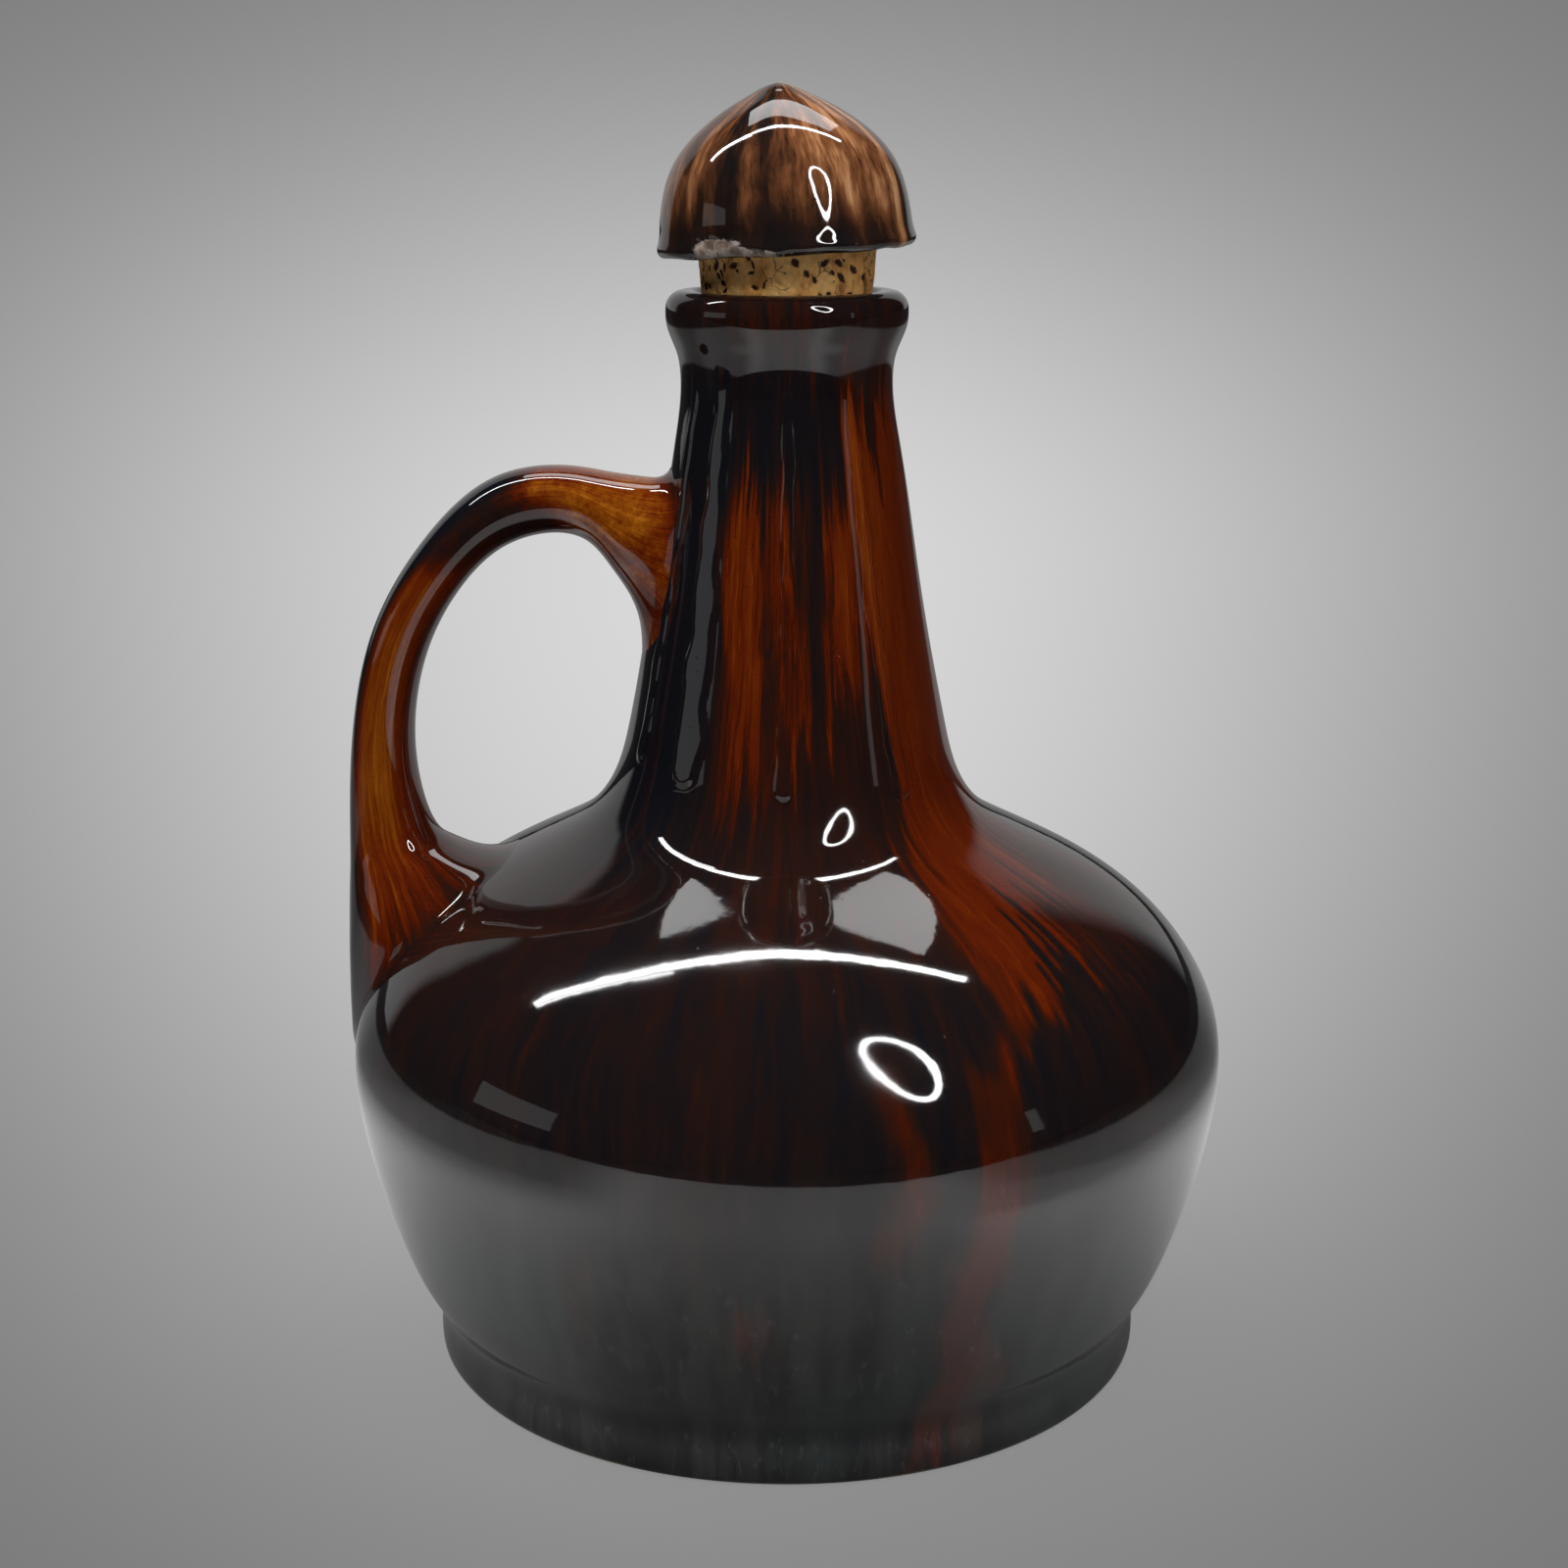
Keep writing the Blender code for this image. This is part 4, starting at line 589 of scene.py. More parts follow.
@dataclass(frozen=True)
class FlowingGlaze:
    """A glossy treacle glaze whose iron and copper tones have run down the pot in fine streaks.

    The mesh carries marks. The flow mark is the place unrolled along the run of the glaze, in metres. The
    tones mark holds the heat, from blue-black to honey, how much the streaks vary it, and the bare clay. The
    mottle mark is 1 where the glaze has broken into dark clouds and curds, as on the handle.
    """

    name: str
    ramp: tuple[Stop, ...] = (
        (0.00, (0.0036, 0.0044, 0.0068)),
        (0.16, (0.0062, 0.0047, 0.0056)),
        (0.30, (0.0125, 0.0054, 0.0042)),
        (0.44, (0.0330, 0.0056, 0.0018)),
        (0.58, (0.0740, 0.0078, 0.0009)),
        (0.70, (0.1120, 0.0165, 0.0012)),
        (0.83, (0.1850, 0.0460, 0.0024)),
        (1.00, (0.3400, 0.1150, 0.0080)),
    )
    clay: Colour = (0.42, 0.31, 0.21)
    clay_grit: Colour = (0.30, 0.20, 0.13)
    speck: Colour = (0.006, 0.005, 0.005)
    # Low on the belly the glaze gets a grey-green film, teal pools and pale flecks. They are partly its own
    # bloom and partly a painted reflection of the pale floor.
    bloom_and_sheen: Colour = (0.024, 0.029, 0.027)
    teal: Colour = (0.010, 0.024, 0.026)
    pale: Colour = (0.070, 0.074, 0.072)
    fleck_and_sheen_scale: tuple[float, float, float] = (1500.0, 1500.0, 300.0)
    bloom_and_sheen_top: float = 78.0 * MM
    broad: tuple[float, float, float] = (300.0, 300.0, 14.0)
    fine: tuple[float, float, float] = (1500.0, 1500.0, 46.0)
    hair: tuple[float, float, float] = (3000.0, 3000.0, 60.0)
    gloss: float = 0.035
    index: float = 1.68

    def material(self) -> bpy.types.Material:
        """Mixes the finish.

        Returns:
            The glaze as a material.
        """
        recipe = Recipe(self.name)
        place = recipe.place()
        heat, spread, bare = recipe.parts(recipe.mark("tones"))
        mottle = recipe.parts(recipe.mark("mottle"))[0]
        run = recipe.wandered(recipe.mark("flow"), 70.0, 2.0, 0.0016)
        broad = recipe.noise(run, self.broad, 4.0, 0.62)
        fine = recipe.noise(run, self.fine, 3.0, 0.6)
        hair = recipe.noise(run, self.hair, 2.0, 0.6)
        streaks = recipe.sum(recipe.swing(broad, 2.4), recipe.swing(fine, 2.2))
        streaks = recipe.sum(streaks, recipe.swing(hair, 1.3))
        clouds = recipe.swing(recipe.noise(place, 130.0, 3.0, 0.6), 0.80)
        curds = recipe.swing(recipe.noise(place, 950.0, 2.0, 0.6), 0.30)
        broken = recipe.times(recipe.sum(clouds, curds), mottle)
        tone = recipe.sum(recipe.sum(heat, broken), recipe.times(streaks, spread))
        colour = recipe.ramp(tone, self.ramp)
        # Painted reflection, partly real bloom: a grey-green film, teal pools and pale flecks, strongest at
        # the bottom of the belly.
        low = recipe.step(recipe.parts(place)[2], 0.35 * self.bloom_and_sheen_top, self.bloom_and_sheen_top, 0.75, 0.0)
        film_and_sheen = recipe.step(recipe.sum(broad, recipe.times(fine, 0.4)), 0.56, 0.90, 0.05, 1.0)
        pools_and_sheen = recipe.step(recipe.noise(place, 24.0), 0.48, 0.64, 0.0, 0.38)
        flecks_and_sheen = recipe.step(recipe.noise(run, self.fleck_and_sheen_scale, 2.0, 0.6), 0.56, 0.74, 0.0, 0.38)
        for share, over in ((film_and_sheen, self.bloom_and_sheen), (pools_and_sheen, self.teal), (flecks_and_sheen, self.pale)):
            colour = recipe.blend(recipe.times(low, share), colour, over)
        specks = recipe.step(recipe.cells(place, 620.0), 0.05, 0.16, 0.5, 0.0)
        colour = recipe.blend(specks, colour, self.speck)
        grain = recipe.noise(place, 900.0, 4.0, 0.7)
        clay = recipe.blend(recipe.step(grain, 0.35, 0.75), self.clay, self.clay_grit)
        colour = recipe.blend(bare, colour, clay)
        wet = recipe.step(recipe.noise(place, 38.0), 0.4, 0.8, self.gloss, self.gloss + 0.05)
        wet = recipe.times(wet, recipe.sum(1.0, recipe.times(bare, -1.0)))
        rough = recipe.sum(wet, recipe.times(bare, 0.82))
        relief = recipe.relief(recipe.noise(place, 260.0, 2.0, 0.4), 0.000012)
        pinholes = recipe.step(recipe.cells(place, 210.0), 0.015, 0.05)
        relief = recipe.relief(pinholes, 0.00002, relief)
        relief = recipe.relief(recipe.times(grain, bare), 0.0002, relief)
        return recipe.finish({"Base Color": colour, "Roughness": rough, "IOR": self.index, "Normal": relief})


@dataclass(frozen=True)
class CapGlaze:
    """The cap's glaze: copper and tan streaks that run from the tip over dark brown, with a chalky scar."""

    name: str
    ramp: tuple[Stop, ...] = (
        (0.00, (0.0070, 0.0060, 0.0065)),
        (0.22, (0.0180, 0.0085, 0.0058)),
        (0.40, (0.0600, 0.0215, 0.0090)),
        (0.60, (0.1450, 0.0540, 0.0210)),
        (0.78, (0.3200, 0.1450, 0.0620)),
        (1.00, (0.5200, 0.3000, 0.1550)),
    )
    chalk: Colour = (0.30, 0.25, 0.22)
    scorch: Colour = (0.10, 0.065, 0.045)
    broad: tuple[float, float, float] = (230.0, 230.0, 70.0)
    fine: tuple[float, float, float] = (1300.0, 1300.0, 110.0)
    gloss: float = 0.04
    index: float = 1.66

    def material(self) -> bpy.types.Material:
        """Mixes the finish.

        Returns:
            The glaze as a material.
        """
        recipe = Recipe(self.name)
        place = recipe.place()
        heat, spread, scar = recipe.parts(recipe.mark("tones"))
        run = recipe.wandered(recipe.mark("flow"), 110.0, 2.0, 0.0022)
        broad = recipe.swing(recipe.noise(run, self.broad, 3.0, 0.6), 2.8)
        fine = recipe.swing(recipe.noise(run, self.fine, 4.0, 0.65), 1.5)
        streaks = recipe.times(recipe.sum(broad, fine), spread)
        colour = recipe.ramp(recipe.sum(heat, streaks), self.ramp)
        crumbs = recipe.noise(place, 420.0, 5.0, 0.7)
        rough_patch = recipe.step(recipe.sum(scar, recipe.swing(crumbs, 1.1)), 0.42, 0.58)
        dust = recipe.blend(recipe.step(crumbs, 0.40, 0.66), self.scorch, self.chalk)
        colour = recipe.blend(rough_patch, colour, dust)
        rough = recipe.sum(self.gloss, recipe.times(rough_patch, 0.62))
        relief = recipe.relief(recipe.noise(place, 300.0, 2.0, 0.4), 0.000015)
        relief = recipe.relief(recipe.times(crumbs, rough_patch), 0.0004, relief)
        return recipe.finish({"Base Color": colour, "Roughness": rough, "IOR": self.index, "Normal": relief})


@dataclass(frozen=True)
class CorkBark:
    """Pressed natural cork: golden tan, mottled, with dark pores. The pores mark is 1 inside a pore."""

    name: str
    light: Colour = (0.98, 0.58, 0.20)
    tan: Colour = (0.86, 0.41, 0.105)
    brown: Colour = (0.26, 0.085, 0.018)
    grain: Colour = (0.17, 0.07, 0.025)
    crack: Colour = (0.16, 0.050, 0.014)
    dark: Colour = (0.050, 0.014, 0.008)

    def material(self) -> bpy.types.Material:
        """Mixes the finish.

        Returns:
            The cork as a material.
        """
        recipe = Recipe(self.name)
        place = recipe.place()
        clouds = recipe.noise(recipe.scaled(place, (1.0, 1.0, 0.45)), 260.0, 5.0, 0.62)
        base = recipe.ramp(clouds, ((0.32, self.brown), (0.44, self.tan), (0.58, self.light)))
        grains = recipe.cells(place, 950.0, "SMOOTH_F1")
        base = recipe.blend(recipe.step(grains, 0.2, 0.75, 0.0, 0.18), base, self.grain)
        edges = recipe.swing(recipe.noise(place, 1300.0, 3.0, 0.6), 0.9)
        hole = recipe.step(recipe.sum(recipe.parts(recipe.mark("pores"))[0], edges), 0.32, 0.62)
        small = recipe.step(recipe.cells(place, 520.0), 0.08, 0.20, 0.85, 0.0)
        sparse = recipe.step(recipe.noise(place, 150.0, 1.0), 0.50, 0.60)
        hole = recipe.worked("MAXIMUM", hole, recipe.times(small, sparse))
        bent = recipe.wandered(place, 420.0, 3.0, 0.0016)
        cracks = recipe.step(recipe.cells(bent, 330.0, "DISTANCE_TO_EDGE"), 0.015, 0.055, 0.8, 0.0)
        cracks = recipe.times(cracks, recipe.step(recipe.noise(place, 240.0, 1.0), 0.48, 0.58))
        base = recipe.blend(cracks, base, self.crack)
        colour = recipe.blend(hole, base, self.dark)
        relief = recipe.relief(recipe.times(clouds, grains), 0.00025)
        relief = recipe.relief(recipe.times(hole, -1.0), 0.0003, relief)
        rough = recipe.step(clouds, 0.3, 0.7, 0.72, 0.9)
        return recipe.finish({"Base Color": colour, "Roughness": rough, "Normal": relief})


@dataclass(frozen=True)
class WoodFibre:
    """Hard fibre or wood, with a grain along X."""

    name: str
    light: Colour
    dark: Colour
    grain: tuple[float, float, float] = (60.0, 900.0, 900.0)
    roughness: float = 0.62

    def material(self) -> bpy.types.Material:
        """Mixes the finish.

        Returns:
            The wood as a material.
        """
        recipe = Recipe(self.name)
        place = recipe.place()
        bent = recipe.wandered(place, 30.0, 2.0, 0.006)
        fibres = recipe.noise(bent, self.grain, 5.0, 0.65)
        clouds = recipe.noise(place, 55.0)
        colour = recipe.blend(recipe.step(fibres, 0.3, 0.7), self.dark, self.light)
        colour = recipe.blend(recipe.step(clouds, 0.35, 0.75, 0.0, 0.4), colour, self.dark)
        rough = recipe.step(fibres, 0.3, 0.7, self.roughness + 0.15, self.roughness)
        relief = recipe.relief(fibres, 0.00008)
        return recipe.finish({"Base Color": colour, "Roughness": rough, "Normal": relief})


@dataclass(frozen=True)
class WorkedMetal:
    """Machined or cast metal with fine tool marks and a little tarnish."""

    name: str
    bright: Colour
    tarnish: Colour
    roughness: float = 0.24
    marks: tuple[float, float, float] = (2600.0, 2600.0, 300.0)
    mottle: float = 180.0
    depth: float = 0.00001

    def material(self) -> bpy.types.Material:
        """Mixes the finish.

        Returns:
            The metal as a material.
        """
        recipe = Recipe(self.name)
        place = recipe.place()
        scratches = recipe.noise(place, self.marks, 3.0, 0.6)
        clouds = recipe.noise(place, self.mottle, 4.0, 0.6)
        colour = recipe.blend(recipe.step(clouds, 0.42, 0.72, 0.0, 0.8), self.bright, self.tarnish)
        colour = recipe.blend(recipe.step(scratches, 0.35, 0.65, 0.25, 0.0), colour, self.tarnish)
        worn = recipe.step(clouds, 0.35, 0.75, self.roughness, self.roughness + 0.22)
        rough = recipe.sum(worn, recipe.swing(scratches, 0.12))
        relief = recipe.relief(scratches, self.depth)
        return recipe.finish({"Base Color": colour, "Metallic": 1.0, "Roughness": rough, "Normal": relief})


@dataclass(frozen=True)
class RubyBearing:
    """A synthetic ruby bearing stone, with faint growth lines."""

    name: str
    deep: Colour = (0.20, 0.004, 0.020)
    pale: Colour = (0.55, 0.03, 0.08)

    def material(self) -> bpy.types.Material:
        """Mixes the finish.

        Returns:
            The stone as a material.
        """
        recipe = Recipe(self.name)
        lines = recipe.noise(recipe.place(), (400.0, 400.0, 2400.0))
        colour = recipe.blend(recipe.step(lines, 0.35, 0.65), self.deep, self.pale)
        rough = recipe.step(lines, 0.3, 0.7, 0.06, 0.12)
        return recipe.finish({"Base Color": colour, "Roughness": rough, "IOR": 1.76})


@dataclass(frozen=True)
class StudioPaper:
    """The pale seamless paper of the studio, brightest behind the jug. Far off it fades into the room's grey.

    It is clear from below, so that the foot can be looked at. The camera sees its painted tone, mostly as a
    painted glow that washes out the jug's shadow on it. The glaze mirrors its lit tone, which has painted
    shade close to the foot and is darker far out and behind the jug.
    """

    name: str
    edge: float = 0.17
    middle: float = 0.69
    spot: tuple[float, float] = (-0.02, 0.17)
    spot_size: tuple[float, float, float] = (0.3085, 0.178, 0.335)
    painted_from: tuple[float, float] = (-0.5032, 0.2445)
    brightness: float = 1.45
    lit_tones: tuple[float, float] = (0.15, 0.50)
    lit_reach: tuple[float, float] = (0.065, 0.185)
    lit_sides: tuple[float, float] = (0.80, 1.50)
    lit_corner_loss: float = 0.66
    lit_edge: float = 0.49
    painted_glow_near: float = 0.80

    def tone(self, recipe: Recipe, place: Socket, height: float | None) -> Socket:
        """The backdrop's painted spot of light, which looks round from where the photograph was taken.

        Args:
            recipe: The recipe that it is painted in.
            place: The place on the floor, or the direction in the room.
            height: How high the spot was painted from, or None for a direction in the room.

        Returns:
            The tone, from the edge's to the middle's.
        """
        aside, ahead, up = recipe.parts(place)
        if height is None:
            depth = recipe.worked("MAXIMUM", ahead, 0.02)
            below = recipe.over(recipe.times(up, -1.0), depth)
        else:
            depth = recipe.worked("MAXIMUM", recipe.sum(ahead, -self.painted_from[0]), 0.25)
            below = recipe.over(height, depth)
        across = recipe.sum(recipe.over(aside, depth), -self.spot[0])
        below = recipe.sum(below, -self.spot[1])
        wide, upper, lower = self.spot_size
        parts = (
            recipe.times(across, 1.0 / wide),
            recipe.times(recipe.worked("MINIMUM", below, 0.0), 1.0 / upper),
            recipe.times(recipe.worked("MAXIMUM", below, 0.0), 1.0 / lower),
        )
        squares = [recipe.times(part, part) for part in parts]
        away = recipe.sum(recipe.sum(squares[0], squares[1]), squares[2])
        glow = recipe.worked("EXPONENT", recipe.times(away, -1.0))
        if height is None:
            glow = recipe.times(glow, recipe.step(ahead, 0.10, 0.40))
        return recipe.sum(recipe.times(glow, self.middle - self.edge), self.edge)

    def material(self) -> bpy.types.Material:
        """Mixes the finish.

        Returns:
            The paper as a material.
        """
        recipe = Recipe(self.name)
        place = recipe.place()
        tone = self.tone(recipe, place, self.painted_from[1])
        off = recipe.put("ShaderNodeVectorMath", {0: place}, operation="LENGTH").outputs["Value"]
        aside, ahead, _ = recipe.parts(place)
        aside = recipe.worked("ABSOLUTE", aside)
        sideways = recipe.over(aside, recipe.worked("MAXIMUM", off, 0.01))
        corner = recipe.times(recipe.step(sideways, 0.50, 0.80), recipe.step(off, 0.15, 0.26))
        # Painted shade: the tone that the glaze mirrors is darker close to the foot, where the jug shades the
        # floor.
        lit = recipe.step(off, *self.lit_reach, *self.lit_tones)
        for share in (
            recipe.step(sideways, 0.25, 0.85, *self.lit_sides),
            recipe.sum(1.0, recipe.times(corner, -self.lit_corner_loss)),
            recipe.step(ahead, -self.lit_edge - 0.01, -self.lit_edge + 0.01, 0.02, 1.0),
            recipe.step(aside, 0.60, 0.75, 1.0, 0.12),
            recipe.step(ahead, 0.0, 0.20, 1.0, 0.45),
        ):
            lit = recipe.times(lit, share)
        direct = recipe.direct()
        look = recipe.blend(direct, lit, recipe.times(tone, 1.0 / self.brightness))
        paper = recipe.put("ShaderNodeBsdfDiffuse", {"Color": look}).outputs["BSDF"]
        # Painted light: near the jug the camera sees the paper mostly as a glow of its painted tone, which
        # washes out the jug's shadow on it.
        painted_glow = recipe.put("ShaderNodeEmission", {"Color": tone, "Strength": 1.0}).outputs["Emission"]
        far = recipe.times(recipe.step(off, 0.05, 1.1, self.painted_glow_near, 1.0), direct)
        clear = recipe.put("ShaderNodeBsdfTransparent").outputs["BSDF"]
        under = recipe.put("ShaderNodeNewGeometry").outputs["Backfacing"]
        return recipe.ended(recipe.mixed(under, recipe.mixed(far, paper, painted_glow), clear))

    def room(self, dark: float, wall: float) -> bpy.types.World:
        """The room: a painted backdrop to look at, and a bright wall behind the jug for the glaze to mirror.

        Args:
            dark: The room's own tone.
            wall: The wall's tone.

        Returns:
            The room.
        """
        recipe = Recipe("studio_room", room=True)
        way = recipe.put("ShaderNodeTexCoord").outputs["Generated"]
        aside, ahead, up = recipe.parts(way)
        depth = recipe.worked("MAXIMUM", ahead, 0.05)
        rise = recipe.step(recipe.over(up, depth), 0.94, 1.10, 1.0, 0.0)
        across = recipe.over(aside, depth)
        across = recipe.times(recipe.step(across, 0.56, 0.80, 1.0, 0.0), recipe.step(across, -1.32, -1.05))
        behind = recipe.times(recipe.times(recipe.step(ahead, 0.45, 0.60), rise), across)
        shade = recipe.sum(recipe.times(behind, wall - dark), dark)
        look = recipe.blend(recipe.direct(), shade, self.tone(recipe, way, None))
        back = recipe.put("ShaderNodeBackground", {"Color": look, "Strength": 1.0})
        return recipe.ended(back.outputs["Background"])


# The jug


@dataclass
class JugSection:
    """The jug's section, as radius and height."""

    height: float = 216.0 * MM
    foot_radius: float = 73.0 * MM
    foot_edge: float = 1.6 * MM
    fold: tuple[float, float] = (72.75 * MM, 8.9 * MM)
    belly_radius: float = 88.9 * MM
    belly_height: float = 63.0 * MM
    neck_radius: float = 20.76 * MM
    neck_height: float = 197.5 * MM
    lip_radius: float = 23.6 * MM
    lip_round: float = 3.4 * MM
    mouth_radius: float = 17.1 * MM
    mouth_round: float = 1.8 * MM
    seat: tuple[float, float] = (16.4 * MM, 202.0 * MM)
    wall: float = 5.0 * MM
    recess_radius: float = 48.8 * MM
    recess_ceiling: float = 42.05 * MM
    ledge_radius: float = 56.6 * MM
    ledge_height: float = 15.8 * MM
    lower_shares: tuple = ((0.045, 0.035), (0.13, 0.205), (0.32, 0.50), (0.54, 0.74), (0.77, 0.925))
    upper_shares: tuple = (
        (0.067, 0.981), (0.135, 0.920), (0.200, 0.818), (0.252, 0.690), (0.300, 0.525), (0.338, 0.378),
        (0.372, 0.277), (0.416, 0.214), (0.500, 0.163), (0.640, 0.110), (0.800, 0.058), (0.920, 0.020),
    )
    lip_shares: tuple = ((0.0, 0.0), (0.14, 0.01), (0.35, 0.22), (0.52, 0.66), (0.66, 0.95))
    rows: int = 330

    def outside(self) -> np.ndarray:
        """The outside from the foot's standing edge, over the belly and the lip, to the cork's seat.

        Returns:
            Rows of radius and height.
        """
        foot = arc((self.foot_radius - self.foot_edge, self.foot_edge), self.foot_edge, -80, 0, 4)
        low, belly = self.fold, (self.belly_radius, self.belly_height)
        rise, swell = belly[1] - low[1], belly[0] - low[0]
        lower = [(low[0] + r * swell, low[1] + z * rise) for z, r in self.lower_shares]
        drop, narrow = self.neck_height - belly[1], belly[0] - self.neck_radius
        upper = [(self.neck_radius + r * narrow, belly[1] + z * drop) for z, r in self.upper_shares]
        roll, depth = self.lip_radius - self.neck_radius, self.height - self.neck_height
        lip = [(self.neck_radius + r * roll, self.neck_height + z * depth) for z, r in self.lip_shares]
        crest = (self.lip_radius - self.lip_round, self.height - self.lip_round)
        crown = arc(crest, self.lip_round, 0, 90, 5)
        inner = (self.mouth_radius + self.mouth_round, self.height - self.mouth_round)
        mouth = arc(inner, self.mouth_round, 90, 180, 4)
        knots = [*foot, (self.foot_radius, self.foot_edge * 2.9), low, *lower, belly, *upper, *lip, *crown]
        knots += [*mouth[1:], self.seat]
        curve = spline_through(np.array(knots), self.rows)
        curve[:, 0] = np.minimum(curve[:, 0], self.belly_radius)
        curve[:, 1] = np.clip(curve[:, 1], 0.0, self.height)
        return curve

    def underside(self) -> np.ndarray:
        """The recess under the jug, from the axis to the foot's standing edge.

        Returns:
            Rows of radius and height.
        """
        corners = [
            (0.0, self.recess_ceiling), (self.recess_radius, self.recess_ceiling),
            (self.recess_radius, self.ledge_height), (self.ledge_radius, self.ledge_height),
            (self.ledge_radius, 0.0), (self.foot_radius - self.foot_edge * 2, 0.0),
        ]
        return resampled(np.array(softened(corners, 1.4 * MM)), 6.0 * MM)

    def inside(self, outside: np.ndarray) -> np.ndarray:
        """The neck's bore and the chamber, from below the cork's seat to the axis.

        Args:
            outside: The rows of the outside.

        Returns:
            Rows of radius and height.
        """
        climb = outside[(outside[:, 1] > 14 * MM) & (outside[:, 1] < self.neck_height - 8 * MM)]
        climb = climb[: int(np.argmax(climb[:, 1])) + 1]
        along = np.gradient(climb, axis=0)
        along /= np.linalg.norm(along, axis=1)[:, None]
        wall = climb + np.stack([-along[:, 1], along[:, 0]], axis=-1) * self.wall
        wall = wall[::-3]
        trough = self.ledge_radius + self.wall
        step = self.ledge_height + 13.0 * MM
        core = self.recess_radius + self.wall
        top = self.recess_ceiling + self.wall
        corners = [
            tuple(wall[-1]), (wall[-1][0] - 3.0 * MM, self.wall), (trough, self.wall),
            (trough, step), (core, step + 3.9 * MM), (core, top), (0.0, top),
        ]
        return np.vstack([wall, resampled(np.array(softened(corners, 2.6 * MM)), 6.0 * MM)[1:]])


@dataclass(frozen=True)
class Run:
    """One run of glaze down the jug: its tone, and its edges at some heights."""

    heat: float
    spread: float
    edges: tuple[tuple[float, float, float], ...]
    softness: float = 4.0
    weight: float = 1.0
    end_softness: float = 6.0

    def cover(self, angle: np.ndarray, height: np.ndarray) -> np.ndarray:
        """How much the run covers each point.

        Args:
            angle: Azimuth, in degrees.
            height: Height, in millimetres.

        Returns:
            The cover, from 0 to the run's weight.
        """
        rows = np.array(sorted(self.edges))
        left = np.interp(height, rows[:, 0], rows[:, 1])
        right = np.interp(height, rows[:, 0], rows[:, 2])
        ends = between(height, rows[0, 0], rows[-1, 0], self.end_softness)
        inside = between(angle, left, right, self.softness)
        return inside * ends * self.weight


@dataclass(frozen=True)
class Drip:
    """A raised drip of glaze down the neck, with a blunt end."""

    path: tuple[tuple[float, float, float], ...]
    proud: float = 0.42 * MM
    edge: float = 0.45 * MM

    def rise(self, angle: np.ndarray, height: np.ndarray, radius: np.ndarray) -> np.ndarray:
        """How far the drip stands out at each point.

        Args:
            angle: Azimuth, in degrees.
            height: Height, in millimetres.
            radius: Radius, in metres.

        Returns:
            The drip's height, in metres.
        """
        rows = np.array(sorted(self.path))
        middle = np.interp(height, rows[:, 0], rows[:, 1])
        phase = rows[0, 1]
        middle = middle + 0.45 * np.sin(height * 0.29 + phase) + 0.25 * np.sin(height * 0.71 + 2 * phase)
        half = np.interp(height, rows[:, 0], rows[:, 2]) * MM / 2
        half = half * (1 + 0.13 * np.sin(height * 0.47 + 3 * phase))
        aside = np.abs(np.radians(angle - middle)) * radius
        below = np.maximum(rows[0, 0] * MM + half - height * MM, 0.0)
        reach = np.hypot(aside, below)
        top = 1 - eased(height, rows[-1, 0] - 10, rows[-1, 0])
        swell = 1.0 + 0.5 * (1 - eased(height, rows[0, 0], rows[0, 0] + 10))
        return self.proud * swell * top * (1 - eased(reach, half - self.edge, half + self.edge))


